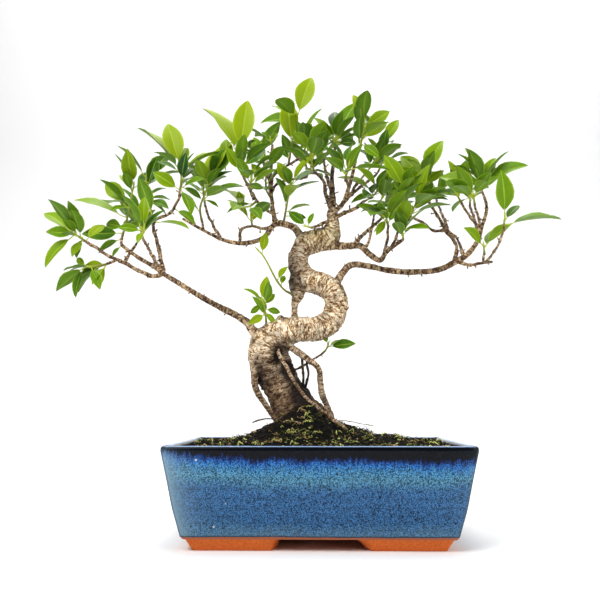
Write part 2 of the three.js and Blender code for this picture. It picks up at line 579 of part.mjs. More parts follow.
// Height of the soil: nearly level along the walls, mounded round the trunk and banked against its front,
// with low lumps and moss cushions.
function soilHeight(x, y) {
  const across = Math.abs(x - soilMoundX) / (x < soilMoundX ? moundLeft : moundRight);
  const along = y / moundDepth;
  let height = soilEdge + soilMound * Math.exp(-(across ** 2.6) - along * along);
  const [bankAcross, bankAlong] = [Math.abs(x - bankX) / bankWidth, (y - bankY) / bankDepth];
  height += bankRise * Math.exp(-(bankAcross ** 3) - bankAlong * bankAlong);
  height += 1.2 * Math.sin(x * 0.11 + 1) * Math.cos(y * 0.13 + x * 0.05);
  for (const [mossX, mossY, radius, rise] of mossCushions) {
    height += rise * Math.exp(-((x - mossX) ** 2 + (y - mossY) ** 2) / radius ** 2);
  }
  return height;
}

// The soil: it fills the hollow up to that height, round the screens and the stems set in it.
function makeSoil(stems) {
  const [cellsX, cellsY] = [18, 12];
  const [halfX, halfY] = [potWidth / 2, potDepth / 2];
  const grid = new THREE.PlaneGeometry(halfX * 2, halfY * 2, cellsX, cellsY);
  const surface = grid.attributes.position;
  const rows = [];
  for (let j = 0; j <= cellsY; j += 1) {
    const row = [];
    for (let i = 0; i <= cellsX; i += 1) {
      const k = j * (cellsX + 1) + i;
      row.push(vec(surface.getX(k), surface.getY(k), soilHeight(surface.getX(k), surface.getY(k))));
    }
    rows.push([...row, vec(row.at(-1).x, row.at(-1).y, 10), vec(row[0].x, row[0].y, 10)]);
  }
  let soil = loft(rows).intersect(potHollow(clearance, potHeight + 40));
  const pad = screenSide + 2 * clearance;
  for (const x of [-drainHoleX, drainHoleX]) {
    const seat = new THREE.BoxGeometry(pad, pad, 10);
    seat.translate(x, 0, floorTop + clearance + screenThickness + clearance - 5);
    soil = soil.subtract(solidOf(seat));
  }
  return oneBody(soil.subtract(stems));
}

// The trunk with its roots and limbs, one grown piece; extra makes it that much thicker.
function makeTrunk(extra) {
  const trunkStations = smoothRoute(trunkRoute, ringPitch / 2);
  const wrinkle = (k, angle) => 1 + (k % 2 ? ringRelief : -ringRelief)
    + 0.07 * Math.sin(2 * angle + k * 0.21) + 0.05 * Math.sin(3 * angle - k * 0.33);
  let tree = rod(trunkStations, trunkSides, { extra, relief: wrinkle });
  const swelling = (k, angle) => 1 + (k % 2 ? 0.05 : -0.05) + 0.05 * Math.sin(2 * angle + k);
  for (const route of [...Object.values(aerialRoots), ...Object.values(limbs)]) {
    const thick = route[0][3] > 3.2;
    const stations = smoothRoute(route, thick ? 18 : 36);
    tree = tree.add(rod(stations, thick ? limbSides : twigSides, { extra, relief: swelling }));
  }
  return oneBody(tree);
}

// A leaf's frame: the way it points, and the way its upper face looks.
function frontFrame(heading, lean, turn) {
  const [h, a, t] = [rad(heading), rad(lean), rad(turn)];
  const along = vec(Math.cos(h) * Math.cos(a), Math.sin(a), Math.sin(h) * Math.cos(a));
  const toFront = vec(0, -1, 0).addScaledVector(along, along.y).normalize();
  const upward = toFront.clone().cross(along);
  if (upward.z < 0) upward.negate();
  const face = toFront.multiplyScalar(Math.cos(t)).addScaledVector(upward, Math.sin(t));
  return { along, face };
}

// The frame of leaf number n round a shoot that points along axis: it turns by the golden angle.
function roundFrame(axis, n, seed) {
  const goldenAngle = 2.39996;
  const side = (Math.abs(axis.z) > 0.8 ? vec(1, 0, 0) : vec(0, 0, 1)).cross(axis).normalize();
  const other = axis.clone().cross(side);
  const angle = goldenAngle * n + 6.28 * draw(seed);
  const spread = rad(42 + 34 * draw(seed + 1));
  const along = axis.clone().multiplyScalar(Math.cos(spread))
    .addScaledVector(side, Math.cos(angle) * Math.sin(spread))
    .addScaledVector(other, Math.sin(angle) * Math.sin(spread)).normalize();
  const tilt = vec(draw(seed + 2) - 0.5, -0.5 + draw(seed + 3), 1);
  const face = tilt.addScaledVector(along, -tilt.dot(along)).normalize();
  return { along, face };
}

// Where a leaf's midrib is at part v of its blade.
function midrib(leaf, v) {
  const blade = leaf.length * (1 - petiolePart);
  return leaf.root.clone().addScaledVector(leaf.along, leaf.length * petiolePart + blade * v)
    .addScaledVector(leaf.face, -blade * bladeArch * v * v);
}

// Half width of a leaf's blade at its widest.
const halfWidth = (leaf) => (leaf.length * (1 - petiolePart) * bladeRatio) / 2;

// Points spread over a blade, for telling how near it comes to others.
function bladePoints(leaf) {
  const across = leaf.along.clone().cross(leaf.face);
  const points = [0, 0.15, 0.3, 0.45, 0.6, 0.75, 0.9, 1].map((v) => midrib(leaf, v));
  for (const [v, part] of [[0.2, 0.75], [0.4, 0.95], [0.6, 0.9], [0.8, 0.55]]) {
    for (const sign of [-1, 1]) {
      points.push(midrib(leaf, v).addScaledVector(across, sign * part * halfWidth(leaf)));
    }
  }
  return points;
}

// The blade with its stalk as one thin solid, with the midrib as a keel underneath.
function makeLeaf(leaf) {
  const across = leaf.along.clone().cross(leaf.face);
  const section = (centre, half, keel) => [
    centre.clone().addScaledVector(across, -half),
    centre.clone().addScaledVector(leaf.face, -keel),
    centre.clone().addScaledVector(across, half),
  ];
  const rings = [section(leaf.root, 0.8, bladeThickness)];
  for (const [v, part] of bladeOutline) {
    rings.push(section(midrib(leaf, v), Math.max(halfWidth(leaf) * part, 0.8), bladeThickness));
  }
  rings.push([midrib(leaf, 1)]);
  return loft(rings);
}

// Least distance between two sets of points.
const nearest = (points, others) => {
  let least = Infinity;
  for (const p of points) {
    for (const q of others) least = Math.min(least, p.distanceToSquared(q));
  }
  return Math.sqrt(least);
};

// Points along every limb and shoot, which leaves keep clear of.
const routePoints = (route, step) => smoothRoute(route, step).map(([x, y, z]) => vec(x, y, z));
const woodPoints = Object.values(limbs).flatMap((route) => routePoints(route, 8));
woodPoints.push(...routePoints(trunkRoute, 8));
const shootPoints = Object.fromEntries(
  Object.entries(shoots).map(([name, { route }]) => [name, routePoints(route, 6)]),
);

// A shoot's route as straight stretches.
function shootCurve(route) {
  const curve = new THREE.CurvePath();
  for (let k = 0; k < route.length - 1; k += 1) {
    curve.add(new THREE.LineCurve3(vec(...route[k]), vec(...route[k + 1])));
  }
  return curve;
}
const shootLength = (route) => shootCurve(route).getLength();

// A point and direction at part t of a shoot.
function alongShoot(route, t) {
  const curve = shootCurve(route);
  return { root: curve.getPointAt(t), axis: curve.getTangentAt(t) };
}

// Leaves are bent clear of each other: the first way to turn that leaves room is taken.
const placedBlades = [];
const otherWays = [[0, 0], [0, 14], [0, -14], [8, 22], [-8, -22], [-8, 30], [8, -30], [14, 40], [-14, -40]];
function placeLeaf(name, makeFrame, root, length) {
  let best = null;
  for (const [dHeading, dLean] of otherWays) {
    const leaf = { root, length, ...makeFrame(dHeading, dLean) };
    const points = bladePoints(leaf);
    const near = placedBlades.filter((other) => other.leaf.root.distanceTo(root) < length + longestLeaf);
    const [kin, others] = [true, false].map((own) => near
      .filter((other) => (other.name === name) === own).flatMap((other) => other.points));
    const stems = Object.keys(shoots).filter((other) => other !== name)
      .flatMap((other) => shootPoints[other]);
    const room = Math.min(
      nearest(points, others),
      nearest(points, kin) + kinRoom,
      nearest(points, woodPoints) + woodRoom,
      nearest(points, stems) + stemRoom,
    );
    if (!best || room > best.room) best = { name, leaf, points, room };
    if (best.room > leafRoom) break;
  }
  return best;
}

const leavesOf = Object.fromEntries(Object.keys(shoots).map((name) => [name, []]));
function keepLeaf(name, placed) {
  placedBlades.push(placed);
  leavesOf[name].push(placed.leaf);
}
for (const [name, { route, leaves }] of Object.entries(shoots)) {
  leaves.forEach(([place, heading, lean, length, turn], i) => {
    const sharing = leaves.slice(i + 1).filter((other) => other[0] === place).length;
    const step = (sharing * leafStep) / shootLength(route);
    const { root } = alongShoot(route, Math.abs(place / 10 - (place < 5 ? -step : step)));
    keepLeaf(name, placeLeaf(name, (dh, dl) => frontFrame(heading + dh, lean + dl, turn), root, length));
  });
}
Object.entries(shoots).forEach(([name, { route, more }], s) => {
  for (let n = 0; n < more; n += 1) {
    const seed = 97 * s + 7 * n;
    const { root, axis } = alongShoot(route, 1 - (0.8 * n) / more);
    const length = 34 + 16 * draw(seed + 4);
    const placed = placeLeaf(name, (dh, dl) => roundFrame(axis, n + dh / 14, seed + dl), root, length);
    if (placed.room > leafRoom) keepLeaf(name, placed);
  }
});

// A shoot with its leaves, cut clear of the wood that it grows from.
function makeShoot(name, wood) {
  const { route } = shoots[name];
  const stations = route.map(([x, y, z], k) => [x, y, z, 1.5 - (0.5 * k) / (route.length - 1)]);
  let shoot = rod(stations, shootSides, { pointed: true });
  for (const leaf of leavesOf[name]) shoot = shoot.add(makeLeaf(leaf));
  return oneBody(shoot.subtract(wood));
}

// The pieces with their finishes.
const finish = (color, roughness) => new THREE.MeshStandardMaterial({ color, roughness, metalness: 0 });
const bonsai = new THREE.Group();
function addPiece(name, solid, material) {
  const { vertProperties, triVerts } = solid.getMesh();
  const geometry = new THREE.BufferGeometry();
  geometry.setAttribute('position', new THREE.BufferAttribute(vertProperties, 3));
  geometry.setIndex(new THREE.BufferAttribute(triVerts, 1));
  const mesh = new THREE.Mesh(geometry, material);
  mesh.name = name;
  bonsai.add(mesh);
  return mesh;
}

const trunk = makeTrunk(0);
const trunkRoom = makeTrunk(clearance);
addPiece('pot', makePot(), finish('#33578f', 0.25));
for (const [side, x] of [['left', -drainHoleX], ['right', drainHoleX]]) {
  const screen = addPiece(`drain_screen_${side}`, makeScreen(), finish('#1c1c1c', 0.6));
  screen.position.set(x, 0, floorTop + clearance);
}
addPiece('soil', makeSoil(trunkRoom), finish('#2a231c', 0.95));
addPiece('trunk', trunk, finish('#9a8266', 0.85));
for (const name of Object.keys(shoots)) {
  addPiece(`shoot_${name}`, makeShoot(name, trunkRoom), finish('#4f8f24', 0.4));
}

// The whole stands with the middle of its outline over the origin.
const outline = new THREE.Box3().setFromObject(bonsai);
const middle = outline.getCenter(vec());
bonsai.position.set(-middle.x, -middle.y, 0);

export default bonsai;
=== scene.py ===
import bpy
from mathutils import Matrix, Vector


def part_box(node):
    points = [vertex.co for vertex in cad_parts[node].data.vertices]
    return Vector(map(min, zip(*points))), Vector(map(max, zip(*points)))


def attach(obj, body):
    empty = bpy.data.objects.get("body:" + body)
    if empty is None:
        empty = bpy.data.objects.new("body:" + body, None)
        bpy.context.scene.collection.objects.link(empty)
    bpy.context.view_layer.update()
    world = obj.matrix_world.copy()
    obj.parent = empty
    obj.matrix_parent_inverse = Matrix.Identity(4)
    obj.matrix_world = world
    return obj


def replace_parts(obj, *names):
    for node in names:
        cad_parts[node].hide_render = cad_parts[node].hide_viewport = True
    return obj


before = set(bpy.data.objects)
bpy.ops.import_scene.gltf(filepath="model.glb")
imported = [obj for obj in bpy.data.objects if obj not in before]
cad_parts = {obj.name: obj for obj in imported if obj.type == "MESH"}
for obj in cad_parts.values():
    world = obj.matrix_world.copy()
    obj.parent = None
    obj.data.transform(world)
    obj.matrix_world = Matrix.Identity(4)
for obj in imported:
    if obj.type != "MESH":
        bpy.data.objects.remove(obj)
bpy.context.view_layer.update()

import itertools
import math

import bpy
import mathutils
import numpy as np

mm = 0.001
potLow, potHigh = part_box("pot")
# All shapes are worked out in millimetres from the middle
# of the pot's foot, and moved to the frame at the end.
potMiddle = np.array([(potLow.x + potHigh.x) / 2, (potLow.y + potHigh.y) / 2, 0]) / mm


studio = {
    "cameraPlace": (-2.2, -786.3, 134.6),  # mm from the pot's middle
    "lookUp": 8.63,  # degrees
    "turnLeft": 1.31,
    "lens": 42.62,  # on a 36 mm sensor
    "paperNear": "#e6e6e6",  # of the floor under the pot, where the lamps are close, and of the wall
    "paperFar": "#f8f8f8",
    "paperReach": 9000,  # mm, to either side, forwards and upwards
    "curveStart": 1200,  # mm behind the pot, where the paper begins to curve up
    "curveRadius": 1500,
    "skyFront": 0.22,  # strength of the sky on the camera's side, and over and behind the tree
    "skyBack": 0.72,
    "skySeen": 0.9,  # of the room where the camera sees it directly
    "key": {"place": (-620, -900, 1150), "aim": (0, 0, 250), "size": 750, "watts": 19},
    "fill": {"place": (1000, -650, 600), "aim": (0, 0, 200), "size": 900, "watts": 7},
    "top": {"place": (100, 100, 1500), "aim": (0, 0, 250), "size": 1000, "watts": 9},
    "wall": {"place": (0, 1300, 3600), "aim": (0, 2700, 900), "size": 1600, "watts": 78},
}


# sRGB hex text to a linear colour with alpha.
def linearColour(hexText):
    channel = np.array([int(hexText[i:i + 2], 16) for i in (1, 3, 5)]) / 255
    linear = np.where(channel <= 0.04045, channel / 12.92, ((channel + 0.055) / 1.055) ** 2.4)
    return (*linear.tolist(), 1.0)


# Adds a node and gives the output that is asked for, by its place or its name.
# A key in lower case is a property, "stops" are a ramp's places and colours,
# and any other key is an input with its value or the socket that feeds it.
def addNode(tree, kind, settings, output=0):
    node = tree.nodes.new("ShaderNode" + kind)
    for key, value in settings.items():
        if key == "stops":
            elements = node.color_ramp.elements
            while len(elements) < len(value):
                elements.new(1)
            for element, (place, colour) in zip(elements, value):
                element.position = place
                element.color = linearColour(colour)
        elif isinstance(key, str) and key[0].islower():
            setattr(node, key, value)
        elif isinstance(value, bpy.types.NodeSocket):
            tree.links.new(value, node.inputs[key])
        elif isinstance(value, str):
            node.inputs[key].default_value = linearColour(value)
        else:
            node.inputs[key].default_value = value
    return node.outputs[output] if node.outputs else None


def newMaterial(name):
    material = bpy.data.materials.new(name)
    material.use_nodes = True
    material.node_tree.nodes.clear()
    return material, material.node_tree


# Rows of unit vectors.
def unit(vectors):
    return vectors / np.maximum(np.linalg.norm(vectors, axis=-1, keepdims=True), 1e-9)


# Value noise from -1 to 1: a random height at each corner
# of a lattice, blended between corners by a smooth step.
def noise(points, size, seed):
    cell = points / size + 100.5
    corner = np.floor(cell).astype(np.int64)
    part = cell - corner
    part = part * part * (3 - 2 * part)
    total = np.zeros(len(points))
    for step in itertools.product((0, 1), repeat=3):
        x, y, z = (corner + step).T
        mixed = (x * 73856093) ^ (y * 19349663) ^ (z * 83492791) ^ (seed * 2654435761)
        mixed = (mixed ^ (mixed >> 13)) * 1274126177 & 0xFFFFFFFF
        height = ((mixed ^ (mixed >> 15)) & 0xFFFF) / 65535
        total += height * np.prod(np.where(step, part, 1 - part), axis=1)
    return total * 2 - 1


# Joins shapes of points, quads, triangles and named values per point into one.
def joined(shapes):
    points, quads, triangles, values, start = [], [], [], {}, 0
    for shape in shapes:
        points.append(shape["points"])
        quads.append(shape["quads"].reshape(-1, 4) + start)
        triangles.append(shape["triangles"].reshape(-1, 3) + start)
        for name, value in shape["values"].items():
            values.setdefault(name, []).append(np.broadcast_to(value, (len(shape["points"]),)))
        start += len(shape["points"])
    return {"points": np.concatenate(points), "quads": np.concatenate(quads),
            "triangles": np.concatenate(triangles),
            "values": {name: np.concatenate(value) for name, value in values.items()}}


noFaces = np.zeros((0, 4), np.int64)


# Puts a shape into a mesh object at the origin, with its values as point attributes.
def makePiece(name, shape, material, sharpAngle=None):
    mesh = bpy.data.meshes.new(name)
    points = (shape["points"] + potMiddle) * mm
    corners = np.concatenate([shape["quads"].ravel(), shape["triangles"].ravel()]).astype(np.int32)
    quadCount, triangleCount = len(shape["quads"]), len(shape["triangles"])
    starts = np.concatenate([np.arange(quadCount) * 4, quadCount * 4 + np.arange(triangleCount) * 3])
    mesh.vertices.add(len(points))
    mesh.vertices.foreach_set("co", points.astype(np.float32).ravel())
    mesh.loops.add(len(corners))
    mesh.loops.foreach_set("vertex_index", corners)
    mesh.polygons.add(quadCount + triangleCount)
    mesh.polygons.foreach_set("loop_start", starts.astype(np.int32))
    mesh.update(calc_edges=True)
    mesh.validate()
    for key, value in shape["values"].items():
        attribute = mesh.attributes.new(key, "FLOAT", "POINT")
        attribute.data.foreach_set("value", value.astype(np.float32))
    mesh.polygons.foreach_set("use_smooth", np.ones(quadCount + triangleCount, bool))
    if sharpAngle is not None:
        mesh.set_sharp_from_angle(angle=math.radians(sharpAngle))
    piece = bpy.data.objects.new(name, mesh)
    bpy.context.scene.collection.objects.link(piece)
    mesh.materials.append(material)
    return piece


# Quads between rows of points; a row closes on itself when around is true.
def gridQuads(rows, columns, around=True):
    row = np.arange(rows - 1)[:, None] * columns
    column = np.arange(columns if around else columns - 1)[None, :]
    ahead = (column + 1) % columns
    above = row + columns
    return np.stack([row + column, row + ahead, above + ahead, above + column], -1).reshape(-1, 4)


# Triangles that close the first and last of some rings, each with a point that comes after them all.
def endFans(rings, around):
    first = np.arange(around)
    following, last = (first + 1) % around, (rings - 1) * around
    return np.concatenate([
        np.stack([following, first, np.full(around, rings * around)], -1),
        np.stack([last + first, last + following, np.full(around, rings * around + 1)], -1)])


# Catmull-Rom points through a route, about step apart.
def smoothRoute(route, step):
    route = np.asarray(route, float)
    last = len(route) - 1
    stretches = []
    for k in range(last):
        p, q, r, s = route[max(k - 1, 0)], route[k], route[k + 1], route[min(k + 2, last)]
        count = max(1, math.floor(np.linalg.norm((r - q)[:3]) / step + 0.5))
        t = np.arange(count)[:, None] / count
        square, cube = 2 * p - 5 * q + 4 * r - s, 3 * q - p - 3 * r + s
        stretches.append(0.5 * (2 * q + (r - p) * t + square * t ** 2 + cube * t ** 3))
    return np.concatenate([*stretches, route[-1:]])


# Length along a path up to each of its points.
def lengthAlong(centres):
    return np.concatenate([[0], np.cumsum(np.linalg.norm(np.diff(centres, axis=0), axis=1))])


# Directions along a path and two square to it, each turned as little as possible from the one before.
def carriedFrames(centres):
    ahead = np.empty_like(centres)
    ahead[1:-1] = centres[2:] - centres[:-2]
    ahead[0], ahead[-1] = centres[1] - centres[0], centres[-1] - centres[-2]
    ahead = unit(ahead)
    side = np.empty_like(centres)
    carried = np.array([1.0, 0, 0]) if abs(ahead[0, 2]) > 0.8 else np.array([0, 0, 1.0])
    for k, direction in enumerate(ahead):
        carried = unit(carried - direction * (carried @ direction))
        side[k] = carried
    return ahead, side, np.cross(ahead, side)


# Directions outwards round each point of a path, one for each side of a tube.
def spokes(side, other, sides):
    angle = np.arange(sides) / sides * 2 * np.pi
    return side[:, None] * np.cos(angle)[None, :, None] + other[:, None] * np.sin(angle)[None, :, None]


# A closed tube: a ring of points about each centre at its radius,
# with a point at either end. radii has a column for each side.
def tube(centres, radii, values=None, tipOut=0.6):
    count, sides = radii.shape
    ahead, side, other = carriedFrames(centres)
    rings = centres[:, None] + spokes(side, other, sides) * radii[..., None]
    tips = [centres[0] - ahead[0] * radii[0].mean() * tipOut,
            centres[-1] + ahead[-1] * radii[-1].mean() * tipOut]
    points = np.concatenate([rings.reshape(-1, 3), tips])
    allValues = {}
    for name, value in (values or {}).items():
        grid = np.broadcast_to(value, (count, sides))
        allValues[name] = np.concatenate([grid.ravel(), [grid[0].mean(), grid[-1].mean()]])
    return {"points": points, "quads": gridQuads(count, sides), "triangles": endFans(count, sides),
            "values": allValues}


# A place in mm as metres in the frame.
def toFrame(place):
    return ((np.array(place, float) + potMiddle) * mm).tolist()


cameraData = bpy.data.cameras.new("camera")
cameraData.lens = studio["lens"]
cameraData.sensor_width = 36
cameraData.clip_start, cameraData.clip_end = 0.01, 30
camera = bpy.data.objects.new("camera", cameraData)
camera.location = toFrame(studio["cameraPlace"])
camera.rotation_euler = (math.radians(90 + studio["lookUp"]), 0, math.radians(studio["turnLeft"]))
bpy.context.scene.collection.objects.link(camera)
bpy.context.scene.camera = camera


def makeLamp(name, settings):
    lamp = bpy.data.lights.new(name, "AREA")
    lamp.shape, lamp.size, lamp.energy = "SQUARE", settings["size"] * mm, settings["watts"]
    holder = bpy.data.objects.new(name, lamp)
    holder.location = toFrame(settings["place"])
    aim = mathutils.Vector(toFrame(settings["aim"])) - holder.location
    holder.rotation_euler = aim.to_track_quat("-Z", "Y").to_euler()
    bpy.context.scene.collection.objects.link(holder)


for lampName in ("key", "fill", "top", "wall"):
    makeLamp(lampName, studio[lampName])

# The room: white behind and above the tree and dim on the camera's side, so that gloss keeps its depth.
world = bpy.data.worlds.new("studio")
world.use_nodes = True
room = world.node_tree
room.nodes.clear()
towards = addNode(room, "SeparateXYZ", {0: addNode(room, "TexCoord", {}, "Generated")}).node.outputs
backed = addNode(room, "Math", {"operation": "MULTIPLY_ADD", 0: towards["Z"], 1: 0.8, 2: towards["Y"]})
skyStrength = addNode(room, "MapRange", {"Value": backed, "From Min": -0.5, "From Max": 0.5,
                                         "To Min": studio["skyFront"], "To Max": studio["skyBack"]})
# seen directly, past the paper's front edge, the room is as pale as the paper
seen = addNode(room, "LightPath", {}, "Is Camera Ray")
direct = addNode(room, "Math", {"operation": "MULTIPLY", 0: seen, 1: studio["skySeen"]})
strength = addNode(room, "Math", {"operation": "MAXIMUM", 0: skyStrength, 1: direct})
sky = addNode(room, "Background", {"Color": "#ffffff", "Strength": strength})
addNode(room, "OutputWorld", {"Surface": sky})
bpy.context.scene.world = world
bpy.context.scene.view_settings.view_transform = "Standard"


# Paper sweep: a floor that curves up into a wall, a flat strip carried along a quarter circle.
def makeSweep(material):
    angle = np.linspace(0, np.pi / 2, 24)
    reach, start, radius = studio["paperReach"], studio["curveStart"], studio["curveRadius"]
    y = np.concatenate([[-reach, start], start + radius * np.sin(angle[1:]), [start + radius]])
    z = np.concatenate([[0, 0], radius - radius * np.cos(angle[1:]), [reach]])
    points = np.stack([np.repeat([-reach, reach], len(y)), np.tile(y, 2), np.tile(z, 2)], -1)
    quads = gridQuads(2, len(y), False)[:, ::-1]
    sweep = {"points": points, "quads": quads, "triangles": noFaces[:, :3], "values": {}}
    return makePiece("paper_sweep", sweep, material)


# Studio paper: matt white with a fine tooth, and a little greyer near the pot, where the lamps are brightest.
def makePaperMaterial():
    material, tree = newMaterial("studioPaper")
    place = addNode(tree, "TexCoord", {}, "Object")
    tooth = addNode(tree, "TexNoise", {"Vector": place, "Scale": 1 / (3 * mm)})
    bump = addNode(tree, "Bump", {"Height": tooth, "Strength": 0.05, "Distance": 0.1 * mm})
    away = addNode(tree, "MapRange", {"Value": addNode(tree, "VectorMath", {"operation": "LENGTH",
            0: place}, "Value"), "From Min": 0.3, "From Max": 2.2})
    white = addNode(tree, "Mix", {"data_type": "RGBA", 0: away, 6: studio["paperNear"],
            7: studio["paperFar"]}, 2)
    surface = addNode(tree, "BsdfPrincipled", {"Base Color": white, "Roughness": 0.95,
            "Specular IOR Level": 0.1, "Normal": bump})
    addNode(tree, "OutputMaterial", {"Surface": surface})
    return material


makeSweep(makePaperMaterial())
print("studio made")


# The wood: x, y, z and radius in mm along each route, and each shoot with its stem and its leaves.
trunkRoute = [
  [-10, 0, 94, 19], [-14, 0, 110, 26], [-21, 0, 127, 23], [-31, 0, 145, 21], [-43, -3, 163, 19.5],
  [-52, -6, 181, 22], [-55, -8, 198, 23], [-43, -9, 213, 19], [-23, -8, 219, 15.5], [-3, -5, 220, 15],
  [13, 0, 229, 14.5], [20, 4, 245, 14], [18, 6, 262, 14], [7, 6, 272, 13.5], [-10, 6, 278, 13.5],
  [-20, 6, 290, 11.5], [-21, 6, 307, 11.5], [-13, 5, 319, 12], [0, 4, 323, 12.5], [13, 2, 327, 12],
  [17, 2, 342, 7.5], [16, 2, 357, 6],
]

aerialRoots = {
  "column": [
    [-23, -6, 220, 5.5], [-26, -1, 237, 3.8], [-26, 3, 250, 4.5], [-24, 5, 259, 8], [-23, 6, 270, 9.5],
    [-21, 6, 290, 10],
  ],
  "left": [
    [-62, -8, 200, 5], [-70, -14, 188, 4.8], [-69, -18, 172, 4.4], [-67, -21, 155, 3.6],
    [-54, -20, 134, 3.2], [-45, -18, 120, 2.8], [-39, -17, 104, 2.4],
  ],
  "front": [
    [-45, -20, 199, 2.6], [-41, -29, 190, 2], [-33, -30, 176, 1.9], [-16, -32, 149, 1.8],
    [8, -35, 128, 1.8], [29, -38, 112, 1.8], [38, -39, 101, 1.7],
  ],
  "right": [
    [-38, -14, 204, 6], [-27, -18, 197, 5], [-12, -18, 187, 3.8], [0, -16, 177, 3.4],
    [2, -15, 163, 3.5], [4, -14, 149, 3.8], [9, -13, 137, 4], [13, -12, 122, 4.4], [17, -12, 103, 4],
  ],
  "base": [
    [-38, -3, 170, 5], [-29, -3, 157, 7], [-15, -4, 142, 9], [-2, -5, 128, 11], [2, -5, 114, 11.5],
    [2, -5, 98, 9],
  ],
  "innerLeft": [[-22, -14, 198, 1.8], [-18, -13, 185, 1.5], [-16, -9, 167, 1.5], [-18, -4, 146, 1.8]],
  "innerRight": [[-13, -15, 190, 1.6], [-12, -10, 180, 1.4], [-11, -8, 169, 1.4], [-16, -4, 150, 1.8]],
}

